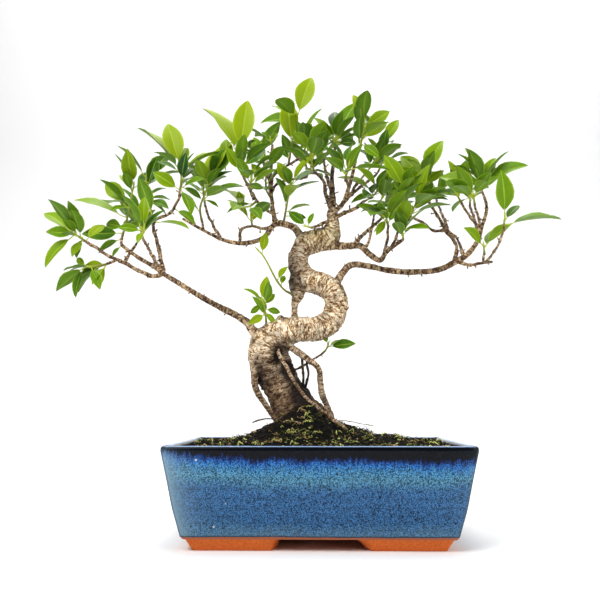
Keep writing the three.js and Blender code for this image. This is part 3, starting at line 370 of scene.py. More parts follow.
limbs = {
  "left": [
    [-50, -8, 204, 8.5], [-57, -8, 207, 7.5], [-70, -12, 217, 5.6], [-78, -14, 227, 4.4], [-90, -17, 235, 3.9],
    [-107, -22, 243, 3.4], [-126, -28, 253, 3.3], [-146, -34, 265, 3], [-166, -39, 277, 2.8],
  ],
  "leftUpper": [[-166, -39, 277, 2.6], [-188, -33, 292, 2.2], [-214, -26, 310, 1.9], [-217, -24, 320, 1.7]],
  "leftLower": [
    [-166, -39, 277, 2.6], [-178, -42, 275, 2.4], [-192, -46, 280, 2.2], [-213, -52, 290, 1.9],
    [-224, -55, 295, 1.8], [-245, -62, 308, 1.6],
  ],
  "leftRiser": [
    [-166, -39, 277, 2.5], [-171, -37, 299, 2.2], [-177, -36, 321, 2], [-179, -34, 336, 1.8],
    [-163, -30, 347, 1.7], [-155, -28, 361, 1.5], [-153, -26, 374, 1.4],
  ],
  "leftBack": [[-166, -39, 277, 2.2], [-180, -20, 295, 2], [-196, 5, 318, 1.8], [-207, 25, 335, 1.6]],
  "leftFront": [[-206, -50, 287, 1.8], [-198, -56, 297, 1.5], [-186, -62, 311, 1.3]],
  "leftUnder": [[-213, -52, 290, 1.8], [-222, -60, 283, 1.5]],
  "arm": [
    [-15, 8, 319, 6], [-23, 14, 336, 4.4], [-32, 18, 344, 4], [-49, 20, 347, 3.8], [-62, 18, 331, 3],
    [-76, 14, 324, 2.9], [-93, 10, 322, 2.8], [-111, 6, 326, 2.5], [-132, 2, 336, 2.2], [-154, -2, 348, 1.8],
  ],
  "armLoop": [
    [-90, 11, 323, 2], [-89, 16, 339, 1.8], [-77, 24, 345, 1.8], [-62, 26, 343, 1.9], [-49, 20, 347, 2.4],
  ],
  "armShoot": [[-131, 2, 336, 1.7], [-132, 1, 344, 1.5]],
  "armBack": [[-111, 6, 326, 2], [-122, 22, 345, 1.8], [-131, 38, 363, 1.6], [-137, 50, 379, 1.5]],
  "riser": [[-49, 20, 347, 3], [-53, 22, 372, 2.6], [-56, 26, 404, 2.2], [-54, 30, 446, 1.7]],
  "riserLeft": [
    [-51, 20, 359, 2.1], [-57, 16, 361, 2], [-70, 6, 371, 1.8], [-80, -12, 385, 1.6], [-85, -22, 393, 1.5],
  ],
  "riserFront": [[-70, 6, 371, 1.7], [-73, -14, 370, 1.5], [-74, -34, 371, 1.4]],
  "riserRight": [[-55, 25, 392, 1.8], [-51, 18, 405, 1.6], [-34, 8, 414, 1.5], [-17, 0, 422, 1.3]],
  "riserFar": [[-54, 24, 388, 1.8], [-45, 34, 402, 1.6], [-13, 50, 414, 1.4]],
  "riserBack": [[-55, 24, 392, 2], [-60, 38, 410, 1.8], [-65, 53, 428, 1.6], [-69, 66, 444, 1.5]],
  "middle": [
    [12, 2, 317, 6.5], [22, 0, 316, 5], [33, -6, 314, 4.3], [47, -12, 313, 3.9], [56, -18, 303, 3.5],
    [68, -22, 294, 3.1], [74, -26, 302, 2.7], [85, -32, 310, 2.3], [92, -36, 314, 2],
  ],
  "middleFirst": [[51, -15, 309, 2], [57, -14, 318, 1.6], [61, -10, 334, 1.4], [64, -6, 350, 1.3]],
  "middleSecond": [[72, -25, 299, 1.8], [75, -34, 316, 1.5], [76, -40, 327, 1.4]],
  "middleThird": [[79, -29, 305, 1.8], [87, -26, 323, 1.5], [91, -22, 341, 1.4]],
  "middleBack": [[40, -9, 314, 3], [50, 14, 330, 2.3], [68, 36, 350, 1.9], [86, 58, 371, 1.5]],
  "right": [
    [17, 7, 268, 7], [23, 8, 278, 5.2], [29, 10, 288, 4.4], [38, 12, 296, 4.1], [52, 13, 296, 3.9],
    [75, 12, 291, 3.9], [95, 8, 287, 3.8], [116, 2, 286, 3.6], [136, -6, 287, 3.5], [154, -16, 295, 3.2],
    [165, -20, 302, 3], [175, -26, 316, 2.6], [178, -30, 328, 2.4], [183, -36, 349, 2], [177, -40, 368, 1.6],
  ],
  "rightFirst": [
    [150, -14, 293, 2.6], [155, -8, 310, 2.3], [153, -2, 321, 2.1], [146, 6, 335, 2], [136, 14, 358, 1.8],
    [130, 18, 372, 1.6],
  ],
  "rightTwin": [[160, -18, 299, 2], [157, -16, 311, 1.6], [154, -10, 323, 1.5], [147, 5, 335, 1.7]],
  "rightInner": [[146, 6, 335, 1.9], [132, 2, 333, 1.7], [118, -2, 342, 1.6], [104, -6, 348, 1.5]],
  "rightSide": [[175, -26, 314, 2], [176, -14, 335, 1.7], [170, -6, 349, 1.6], [164, 0, 365, 1.4]],
  "rightFront": [[176, -28, 320, 1.8], [173, -38, 336, 1.5], [168, -46, 349, 1.3]],
  "rightEnd": [[153, -16, 294, 2.4], [165, -22, 288, 1.9], [176, -30, 289, 1.7], [187, -36, 289, 1.4]],
  "rightTip": [[180, -32, 289, 1.7], [191, -40, 304, 1.5], [197, -47, 319, 1.4], [197, -48, 324, 1.3]],
  "rightFork": [[178, -31, 289, 1.5], [180, -30, 298, 1.3]],
  "rightBack": [[147, 5, 335, 2], [149, 20, 348, 1.8], [147, 38, 366, 1.6], [145, 52, 382, 1.4]],
  "rightFar": [[175, -26, 316, 2], [178, -8, 330, 1.8], [181, 14, 350, 1.6], [182, 40, 374, 1.4]],
  "topCentre": [
    [16, 2, 354, 5.2], [18, 4, 365, 3.8], [17, 8, 384, 3.1], [17, 12, 403, 2.6], [21, 18, 441, 1.8],
  ],
  "topLeft": [[16, 2, 358, 3.6], [9, -8, 374, 2.7], [7, -16, 386, 2.3], [-4, -26, 395, 1.7]],
  "topRight": [[17, 2, 356, 3.8], [29, -4, 365, 2.8], [38, -14, 390, 2.3], [44, -22, 414, 1.7]],
  "topFar": [[29, -4, 365, 2.4], [37, 6, 376, 2.1], [46, 16, 393, 1.7]],
  "topLow": [[17, 2, 348, 3], [27, 4, 353, 2.4], [45, 12, 364, 2.1], [54, 20, 373, 1.7]],
  "topDown": [[16, 2, 345, 2.6], [9, -4, 342, 2], [-6, -12, 334, 1.6]],
  "topBack": [[17, 5, 370, 3], [15, 22, 392, 2.4], [10, 44, 418, 1.9], [7, 64, 443, 1.5]],
  "topFarBack": [[37, 6, 376, 2.1], [50, 24, 392, 1.9], [64, 44, 408, 1.7], [75, 60, 423, 1.5]],
  "topFront": [[35, -11, 383, 2], [33, -28, 381, 1.7], [30, -45, 378, 1.4]],
  "low": [[-36, 2, 174, 2], [-22, 4, 178, 1.6], [-7, 6, 187, 1.3], [4, 8, 194, 1.2]],
  "stub": [[-43, -9, 218, 6], [-41, -9, 234, 4.5]],
}

shoots = {
  "left_end": {
    "route": [[-245, -62, 308], [-252, -66, 313], [-257, -68, 316]], "more": 0,
    "leaves": [
      [0, 262, -20, 27, 10], [0, 62, 30, 34, 10], [8, 227, -10, 46, 30], [10, 176, -25, 30, 10],
      [10, 153, 35, 34, 40], [10, 140, -5, 44, 42],
    ],
  },
  "left_under": {
    "route": [[-222, -60, 283], [-236, -66, 280], [-242, -70, 280]], "more": 0,
    "leaves": [[0, 236, 10, 28, 0], [7, 298, -15, 28, 20], [9, 143, 20, 19, 0], [10, 252, 0, 34, 26]],
  },
  "left_upper": {
    "route": [[-217, -24, 320], [-213, -22, 339], [-210, -20, 362], [-207, -20, 381]], "more": 1,
    "leaves": [
      [1, 187, -30, 44, 0], [2, 161, 20, 30, 0], [4, 156, -10, 62, 62], [6, 199, -35, 24, 40],
      [7, 138, 10, 46, 0], [7, 158, 45, 76, 55], [9, 123, 20, 36, 45], [10, 54, 25, 46, 0],
      [10, 88, -55, 46, 0], [0, 210, -10, 30, 30],
    ],
  },
  "left_front": {
    "route": [[-186, -62, 311], [-183, -64, 321]], "more": 0,
    "leaves": [[7, 274, 0, 18, 0], [10, 175, -20, 26, 0], [10, 90, -10, 34, 0]],
  },
  "left_inner": {
    "route": [[-179, -34, 336], [-186, -26, 354], [-192, -20, 374], [-194, -16, 392]], "more": 1,
    "leaves": [
      [0, 353, -20, 44, 68], [5, 333, 30, 26, 60], [6, 338, -20, 28, 35], [6, 12, 10, 26, 55],
      [6, 47, 30, 28, 40], [9, 36, 20, 42, 66], [10, 57, 15, 42, 0],
    ],
  },
  "left_top": {
    "route": [[-153, -26, 374], [-152, -26, 388], [-154, -26, 400]], "more": 1,
    "leaves": [
      [0, 302, -15, 42, 55], [1, 336, 20, 27, 30], [0, 147, -15, 36, 0], [1, 19, -10, 31, 45],
      [4, 76, -30, 32, 0], [10, 84, 20, 38, 0], [9, 42, 15, 54, 60], [9, 119, 30, 72, 72],
      [10, 104, 0, 58, 20],
    ],
  },
  "left_arm": {
    "route": [[-132, 1, 344], [-134, -4, 360], [-127, -6, 380], [-125, -8, 387]], "more": 2,
    "leaves": [
      [6, 338, 0, 20, 50], [7, 21, -15, 46, 58], [10, 44, 12, 36, 45], [9, 75, 15, 76, 40],
      [10, 65, -5, 56, 0],
    ],
  },
  "crown_left": {
    "route": [[-85, -22, 393], [-84, -26, 403], [-87, -28, 414]], "more": 1,
    "leaves": [[3, 53, 20, 44, 0], [1, 122, -25, 32, 0], [10, 119, 5, 80, 55], [10, 83, -5, 66, 0]],
  },
  "arm_side": {
    "route": [[-70, 6, 371], [-77, 0, 363], [-85, -6, 360]], "more": 2,
    "leaves": [[10, 114, 15, 54, 50]],
  },
  "loop_shoot": {
    "route": [[-77, 24, 345], [-78, 18, 356]], "more": 0,
    "leaves": [[5, 69, -15, 24, 0], [5, 130, -10, 42, 55]],
  },
  "inner_stem": {
    "route": [
      [-26, 1, 257], [-31, -4, 261], [-38, -6, 265], [-47, -5, 277], [-60, 0, 302], [-68, 3, 312],
    ], "more": 0,
    "leaves": [[4, 56, -10, 20, 30], [9, 80, -10, 26, 0], [3, 75, 10, 16, 0]],
  },
  "inner_leaves": {
    "route": [[-57, -10, 222], [-58, -12, 238], [-61, -14, 251]], "more": 0,
    "leaves": [
      [7, 350, 10, 20, 0], [5, 215, -20, 24, 0], [9, 50, 15, 20, 0], [9, 212, 20, 20, 0],
      [10, 82, -10, 30, 0], [10, 140, 0, 26, 60], [4, 125, -10, 28, 50], [6, 310, -20, 18, 0],
    ],
  },
  "twin_leaf": {
    "route": [[-54, 30, 446], [-56, 30, 453]], "more": 1,
    "leaves": [[8, 131, 0, 18, 0], [9, 61, 10, 18, 0]],
  },
  "peak": {
    "route": [[-34, 8, 414], [-31, 6, 432], [-27, 4, 453], [-24, 2, 469]], "more": 1,
    "leaves": [
      [1, 114, 20, 24, 0], [4, 95, -15, 56, 0], [10, 128, 25, 50, 40], [10, 170, 15, 48, 30],
      [10, 72, 0, 58, 0],
    ],
  },
  "crown_right": {
    "route": [[-17, 0, 422], [-14, -4, 433], [-15, -6, 443]], "more": 2,
    "leaves": [[1, 36, -20, 32, 0], [6, 62, 10, 32, 0], [10, 67, 0, 42, 60]],
  },
  "crown_back": {
    "route": [[-13, 50, 414], [-7, 54, 429]], "more": 3,
    "leaves": [[5, 57, 10, 24, 0]],
  },
  "inner_green": {
    "route": [[-40, 19, 347], [-36, 11, 366], [-31, 0, 388]], "more": 2,
    "leaves": [[3, 21, -10, 30, 64], [2, 8, -20, 26, 0], [10, 117, -15, 32, 0], [10, 54, -20, 44, 55]],
  },
  "up_left": {
    "route": [[-54, 23, 378], [-60, 14, 387], [-60, 10, 404], [-59, 10, 416]], "more": 1,
    "leaves": [[3, 155, 15, 26, 12], [5, 128, -15, 28, 0], [8, 159, 10, 22, 35], [10, 156, 20, 18, 30]],
  },
  "top_centre": {
    "route": [[21, 18, 441], [22, 18, 453]], "more": 1,
    "leaves": [
      [2, 17, 25, 32, 0], [4, 18, 0, 34, 58], [6, 129, -10, 38, 40], [7, 146, 45, 42, 20],
      [10, 62, -10, 50, 18], [10, 90, 25, 50, 0],
    ],
  },
  "top_left": {
    "route": [[-4, -26, 395], [-7, -30, 407], [-8, -32, 417]], "more": 2,
    "leaves": [[9, 121, -10, 27, 0], [8, 42, -20, 29, 0]],
  },
  "top_right": {
    "route": [[44, -22, 414], [49, -26, 429], [52, -28, 448]], "more": 2,
    "leaves": [
      [4, 317, -20, 28, 0], [5, 40, 5, 40, 0], [9, 34, -5, 36, 0], [10, 58, 35, 42, 45],
      [10, 106, -5, 38, 15],
    ],
  },
  "top_far": {
    "route": [[46, 16, 393], [60, 20, 412], [72, 22, 427], [78, 22, 442]], "more": 2,
    "leaves": [
      [4, 41, 0, 30, 34], [8, 356, 20, 32, 15], [8, 73, -20, 31, 0], [10, 8, 10, 24, 10], [10, 63, 0, 40, 20],
    ],
  },
  "top_low": {
    "route": [[54, 20, 373], [64, 10, 377], [70, 2, 382]], "more": 2,
    "leaves": [[9, 192, 10, 30, 35], [9, 153, -25, 48, 62], [10, 132, -15, 38, 45], [9, 62, 0, 32, 0]],
  },
  "middle_new": {
    "route": [[76, -40, 327], [73, -44, 338]], "more": 1,
    "leaves": [[8, 238, -10, 22, 12], [3, 215, 0, 20, 50], [3, 61, -15, 22, 0], [10, 112, 15, 20, 0]],
  },
  "middle_first": {
    "route": [[64, -6, 350], [68, -8, 361], [73, -8, 369]], "more": 2,
    "leaves": [[2, 149, 10, 21, 0]],
  },
  "middle_centre": {
    "route": [[91, -22, 341], [93, -24, 356], [96, -26, 373]], "more": 2,
    "leaves": [[4, 177, -10, 46, 60], [8, 112, 10, 26, 0], [10, 142, 35, 58, 60], [10, 119, -10, 45, 0]],
  },
  "middle_end": {
    "route": [[92, -36, 314], [91, -38, 324]], "more": 1,
    "leaves": [[5, 44, 0, 18, 50], [10, 351, -15, 34, 50]],
  },
  "right_crown": {
    "route": [[130, 18, 372], [127, 14, 385], [123, 10, 398]], "more": 1,
    "leaves": [
      [4, 93, 25, 24, 0], [8, 49, 10, 22, 0], [10, 343, -20, 30, 38], [10, 145, -15, 38, 0],
      [10, 44, 0, 27, 0],
      [10, 85, 45, 48, 0], [10, 125, 0, 46, 0], [10, 66, -5, 52, 25],
    ],
  },
  "right_fore": {
    "route": [[104, -6, 348], [108, -10, 357], [111, -12, 363]], "more": 2,
    "leaves": [[2, 19, -5, 46, 72], [3, 166, -10, 30, 35], [9, 76, -20, 46, 48]],
  },
  "right_side": {
    "route": [[164, 0, 365], [158, -2, 374]], "more": 2,
    "leaves": [[9, 81, 20, 34, 0], [10, 102, -10, 40, 35]],
  },
  "right_end": {
    "route": [[177, -40, 368], [179, -42, 378]], "more": 1,
    "leaves": [
      [1, 160, 20, 26, 12], [9, 135, 20, 40, 66], [10, 146, -5, 50, 25], [10, 66, 0, 36, 22],
      [10, 46, 38, 48, 40], [10, 25, -10, 48, 35],
    ],
  },
  "right_low": {
    "route": [[168, -46, 349], [166, -50, 358]], "more": 1,
    "leaves": [[10, 137, -10, 24, 0], [10, 55, -20, 26, 0]],
  },
  "right_tip": {
    "route": [[197, -48, 324], [198, -50, 333]], "more": 0,
    "leaves": [[3, 13, 0, 62, 70], [10, 50, 15, 30, 38], [10, 98, -30, 51, 0]],
  },
  "right_fork": {
    "route": [[180, -30, 298], [180, -28, 308]], "more": 0,
    "leaves": [[9, 46, -10, 40, 48], [10, 56, 25, 44, 60], [10, 138, -15, 38, 28]],
  },
  "low_shoot": {
    "route": [[4, 8, 194], [9, 8, 199], [11, 6, 204]], "more": 0,
    "leaves": [[8, 10, -10, 32, 30], [10, 37, 5, 29, 58], [10, 111, 0, 18, 0]],
  },
  "bend_leaf": {
    "route": [[-6, -12, 334], [-12, -13, 335]], "more": 0,
    "leaves": [[10, 140, -10, 27, 0], [9, 68, -10, 17, 20]],
  },
  "back_left": { "route": [[-207, 25, 335], [-211, 34, 354], [-210, 38, 372]], "more": 3, "leaves": [] },
  "back_arm": { "route": [[-137, 50, 379], [-141, 56, 400], [-141, 58, 419]], "more": 3, "leaves": [] },
  "back_crown": { "route": [[-69, 66, 444], [-73, 70, 454], [-75, 72, 462]], "more": 3, "leaves": [] },
  "back_top": { "route": [[7, 64, 443], [6, 67, 453], [6, 70, 463]], "more": 5, "leaves": [] },
  "back_top_right": { "route": [[75, 60, 423], [79, 63, 432], [82, 66, 441]], "more": 3, "leaves": [] },
  "back_middle": { "route": [[86, 58, 371], [89, 61, 380], [92, 64, 389]], "more": 3, "leaves": [] },
  "back_right": { "route": [[145, 52, 382], [144, 55, 391], [144, 58, 400]], "more": 3, "leaves": [] },
  "back_right_end": { "route": [[182, 40, 374], [183, 44, 384], [183, 48, 394]], "more": 4, "leaves": [] },
  "fore_crown": { "route": [[-74, -34, 371], [-73, -40, 378], [-71, -46, 386]], "more": 3, "leaves": [] },
  "fore_top": { "route": [[30, -45, 378], [31, -50, 385], [33, -54, 392]], "more": 3, "leaves": [] },
}


bark = {
    "voxel": 1.0,  # mm, of the surface that joins the thick wood
    "thickFrom": 3.0,  # a route that starts thinner than this is swept by itself
    "thickStep": 2.4,  # mm between rings of points
    "trunkSides": 28,
    "limbSides": 14,
    "ringPitch": 6.5,  # mm between the wrinkles that run round the trunk
    "ringDepth": 1.5,
    "fineRingPitch": 3.1,
    "fineRingDepth": 0.8,
    "twigRingPitch": 2.7,
    "lumpHeight": 2.4,
    "twigStep": 1.4,
    "scarPitch": 11,  # mm between the old leaf scars of a thin limb
    "stubSteps": (4, 13),  # least and most steps of 2 mm from one dead stub to the next
    "dents": [  # middle, half size and depth in mm
        ((-36, -22, 182), (9, 12, 15), 5.5), ((-24, -18, 160), (5, 10, 16), 3.5),
        ((-60, -22, 172), (5, 8, 9), 2.5), ((-6, 0, 300), (9, 8, 5), 2.5)],
    "paintedShadePlaces": [  # middle, half size in mm and strength of the painted shade: in the hollows by the roots near the soil, under the bends and under the crown
        ((-43, -22, 192), (8, 20, 13), 1.6), ((-31, -20, 174), (9, 20, 14), 1.8),
        ((-18, -16, 152), (14, 22, 18), 1.8), ((2, -8, 134), (26, 24, 22), 1.6),
        ((-64, -8, 158), (7, 26, 22), 1.6), ((-30, -4, 282), (15, 30, 40), 0.92),
        ((-2, 0, 262), (8, 10, 8), 0.4), ((4, 0, 318), (16, 8, 4), 0.35), ((-4, 4, 392), (28, 44, 40), 0.85)],
    "algae": [((6, 2, 328), (26, 16, 16), 0.8), ((36, -39, 106), (12, 14, 14), 1.0)],
    # the finish alone draws these two: reach round the wood and pitch along it in mm, detail and roughness.
    # The real ridges are finer, and are drawn as coarse as they need to be to show.
    "worms": (6, 2.4, 2.5, 0.6),
    "folds": (7, 4.0, 1.0, 0.5),
    "oldStops": [(0.2, "#100703"), (0.42, "#4b301c"), (0.62, "#98734a"), (0.8, "#d0af83"), (1.0, "#f6e6ca")],
    "youngStops": [(0.2, "#140a05"), (0.46, "#3a2719"), (0.7, "#5e432d"), (0.88, "#8f7152"),
                   (1.0, "#c4a780")],
    "youngTo": 3.5,  # mm of radius up to which wood looks young, and from which it looks old
    "oldFrom": 10,
    "patchSize": 16,  # mm, of the paler and darker patches
    "dampRise": (175, 245),  # mm over the floor between which damp wood dries
    "algaeTint": "#a6a76a",
    "dampTint": "#7a5a3a",
    # tint of the painted shade in the dark places
    "paintedShadeTint": "#3a2a1e",
}


# Height of the bark's rings from 0 in a crease to 1 on a crest: the size of a sine along the wood, bent by
# noise so that the rings wander, and faded by noise so that they break up round the trunk.
def ringHeight(points, along, pitch, seed):
    wander = 2.6 * noise(points, 15, seed) + 1.1 * noise(points, 6, seed + 1)
    wave = np.abs(np.sin(np.pi * (along + wander * 1.6) / pitch)) ** 0.7
    fade = np.clip(0.6 + 0.75 * noise(points, 6, seed + 2), 0.05, 1)
    return 1 - (1 - wave) * fade


# The route point nearest to each point, counted from the wood's surface.
def nearestWood(points, stations, radii):
    best = np.zeros(len(points), np.int64)
    block = 4000
    for start in range(0, len(points), block):
        some = points[start:start + block]
        square = (some ** 2).sum(1)[:, None] - 2 * some @ stations.T + (stations ** 2).sum(1)[None]
        best[start:start + block] = np.argmin(np.sqrt(np.maximum(square, 0)) - radii[None], axis=1)
    return best


# The trunk's section isn't round: its radius swells and
# sinks twice and three times round, turning as it rises.
def trunkRelief(count, sides):
    k = np.arange(count)[:, None]
    angle = np.arange(sides)[None] / sides * 2 * np.pi
    return 1 + 0.07 * np.sin(2 * angle + k * 0.07) + 0.05 * np.sin(3 * angle - k * 0.11)


# Strength at each point of soft round places, each given by
# a middle, half size and strength, and cut off at 1.
def softPlaces(points, places):
    total = np.zeros(len(points))
    for middle, size, strength in places:
        total = np.maximum(total, strength * np.exp(-(((points - middle) / size) ** 2).sum(1)))
    return np.minimum(total, 1)


# One surface for the thick wood: tubes along the routes, joined by a voxel remesh and smoothed, then raised
# along its normals by the rings and lumps and sunk by the dents.
def makeThickWood(material):
    shapes, stations, alongs, radii, girths, aheads = [], [], [], [], [], []
    thick = [trunkRoute] + [route for route in [*aerialRoots.values(), *limbs.values()]
                            if route[0][3] > bark["thickFrom"]]
    for n, route in enumerate(thick):
        path = smoothRoute(route, bark["thickStep"])
        sides = bark["trunkSides"] if n == 0 else bark["limbSides"]
        relief = trunkRelief(len(path), sides) if n == 0 else 1
        centres = path[:, :3]
        shapes.append(tube(centres, path[:, 3:4] * relief * np.ones((1, sides)) - 0.15))
        stations.append(centres)
        aheads.append(unit(np.gradient(centres, axis=0)))
        alongs.append(lengthAlong(centres) + 137 * n)  # no two routes share their rings
        radii.append(path[:, 3])
        # roots are as pale as wood twice as thick
        girths.append(path[:, 3] * (2 if route in aerialRoots.values() else 1))
    stations, alongs, radii, girths, aheads = map(np.concatenate, (stations, alongs, radii, girths, aheads))
    wood = makePiece("trunk_and_thick_limbs", joined(shapes), material)
    remesh = wood.modifiers.new("join", "REMESH")
    remesh.mode = "VOXEL"
    remesh.voxel_size = bark["voxel"] * mm
    smooth = wood.modifiers.new("soften", "SMOOTH")
    smooth.factor, smooth.iterations = 0.5, 3
    applyModifiers(wood)
    mesh = wood.data
    count = len(mesh.vertices)
    flat = np.empty(count * 3, np.float32)
    mesh.vertices.foreach_get("co", flat)
    points = flat.reshape(-1, 3).astype(float) / mm - potMiddle
    mesh.vertices.foreach_get("normal", flat)
    normals = flat.reshape(-1, 3).astype(float)
    best = nearestWood(points, stations, radii)
    along = alongs[best] + ((points - stations[best]) * aheads[best]).sum(1)
    size = np.clip(radii[best] / 12, 0.12, 1)
    coarse = ringHeight(points, along, bark["ringPitch"], 3)
    fine = ringHeight(points, along + 3, bark["fineRingPitch"], 11)
    lumps = 0.5 * noise(points, 22, 5) + 0.35 * noise(points, 9, 6) + 0.35 * noise(points, 4.5, 7)
    # painted shade: how deep each point lies in the dark places
    dark = softPlaces(points, bark["paintedShadePlaces"])
    raised = (bark["ringDepth"] * (coarse - 0.8) + bark["fineRingDepth"] * (fine - 0.8)) * size ** 0.7
    raised += bark["lumpHeight"] * lumps * size * (1 + 0.6 * dark)
    for middle, half, depth in bark["dents"]:
        raised -= depth * np.exp(-(((points - middle) / half) ** 2).sum(1))
    moved = points + normals * raised[:, None]
    mesh.vertices.foreach_set("co", ((moved + potMiddle) * mm).astype(np.float32).ravel())
    # the dark attribute carries the painted shade, and thick roots below 215 mm get a quarter of it
    for key, value in {"crest": 0.6 * coarse + 0.4 * fine, "along": along * mm, "girth": girths[best] * mm,
                       "dark": dark * np.where((girths[best] > radii[best]) & (points[:, 2] < 215), 0.25, 1),
                       "algae": softPlaces(points, bark["algae"])}.items():
        attribute = mesh.attributes.new(key, "FLOAT", "POINT")
        attribute.data.foreach_set("value", value.astype(np.float32))
    mesh.polygons.foreach_set("use_smooth", np.ones(len(mesh.polygons), bool))
    mesh.update()
    return wood


# Applies a piece's modifiers to its mesh.
def applyModifiers(piece):
    evaluated = piece.evaluated_get(bpy.context.evaluated_depsgraph_get())
    mesh = bpy.data.meshes.new_from_object(evaluated)
    piece.modifiers.clear()
    old = piece.data
    piece.data = mesh
    bpy.data.meshes.remove(old)


# A thin limb: a tube with rings round it, a swelling at each old leaf scar and a slight kink there. A pale
# one is coloured as if it were that much thicker.
def twig(route, seed, dark=0.0, pale=1.0):
    path = smoothRoute(route, bark["twigStep"])
    sides = 12 if path[0, 3] > 2.2 else 9
    centres = path[:, :3]
    along = lengthAlong(centres)
    ahead, side, other = carriedFrames(centres)
    surface = (centres[:, None] + spokes(side, other, sides) * path[:, 3][:, None, None]).reshape(-1, 3)
    alongAll = np.repeat(along, sides)
    crest = ringHeight(surface, alongAll, bark["twigRingPitch"], seed).reshape(-1, sides)
    scar = np.exp(-((along % bark["scarPitch"] - 5) / 1.5) ** 2) * (0.5 + 0.5 * np.sin(along * 0.9 + seed))
    lumps = noise(surface, 5, seed + 5).reshape(-1, sides)
    radius = path[:, 3:4] * (0.9 + 0.14 * (crest - 0.6) + 0.36 * scar[:, None] + 0.2 * lumps)
    kink = 0.9 * np.stack([noise(centres, 8, seed + k) for k in range(3)], -1)
    kink *= np.minimum(1, along / 6)[:, None]
    # painted shade from the dark places, which the pale front root doesn't take
    shade = softPlaces(surface, bark["paintedShadePlaces"]).reshape(-1, sides) * (pale <= 1)
    return tube(centres + kink, radius, {"crest": crest, "along": (alongAll * mm).reshape(-1, sides),
                                         "girth": path[:, 3:4] * mm * pale, "dark": np.maximum(dark, shade),
                                         "algae": softPlaces(surface, bark["algae"]).reshape(-1, sides)})


# Dead stubs of old side shoots, a few mm long, stand off every limb at chance steps and turns.
def stubs(route, chance):
    path = smoothRoute(route, 2.0)
    centres = path[:, :3]
    ahead, side, other = carriedFrames(centres)
    shapes, k = [], int(chance.uniform(3, 8))
    while k < len(path) - 2:
        angle, lean, length = chance.uniform(0, 2 * np.pi), chance.uniform(0.2, 0.9), chance.uniform(1.5, 6)
        towards = unit(side[k] * math.cos(angle) + other[k] * math.sin(angle) + ahead[k] * lean)
        steps = (path[k, 3] * 0.6 + np.array([0, 0.5, 1]) * length)[:, None]
        radii = np.array([0.95, 0.75, 0.8])[:, None] * min(1, path[k, 3] / 1.8)
        shapes.append(twig(np.hstack([centres[k] + towards * steps, radii]), int(chance.integers(1000))))
        k += int(chance.uniform(*bark["stubSteps"]))
    return shapes


def makeTwigs(material):
    chance = np.random.default_rng(8)
    thin = [route for route in limbs.values() if route[0][3] <= bark["thickFrom"]]
    shapes = [twig(route, 20 + n) for n, route in enumerate(thin)]
    for route in limbs.values():
        shapes += stubs(route, chance)
    return makePiece("thin_limbs", joined(shapes), material)


# The thin aerial roots: the one in front is dry and pale, and the ones behind it are damp and darkened by
# painted shade.
def makeThinRoots(material):
    thin = {name: route for name, route in aerialRoots.items() if route[0][3] <= bark["thickFrom"]}
    shape = joined([twig(route, 70 + n, *((0.0, 4.0) if name == "front" else (0.75, 1.0)))
                    for n, (name, route) in enumerate(thin.items())])
    return makePiece("thin_aerial_roots", shape, material)
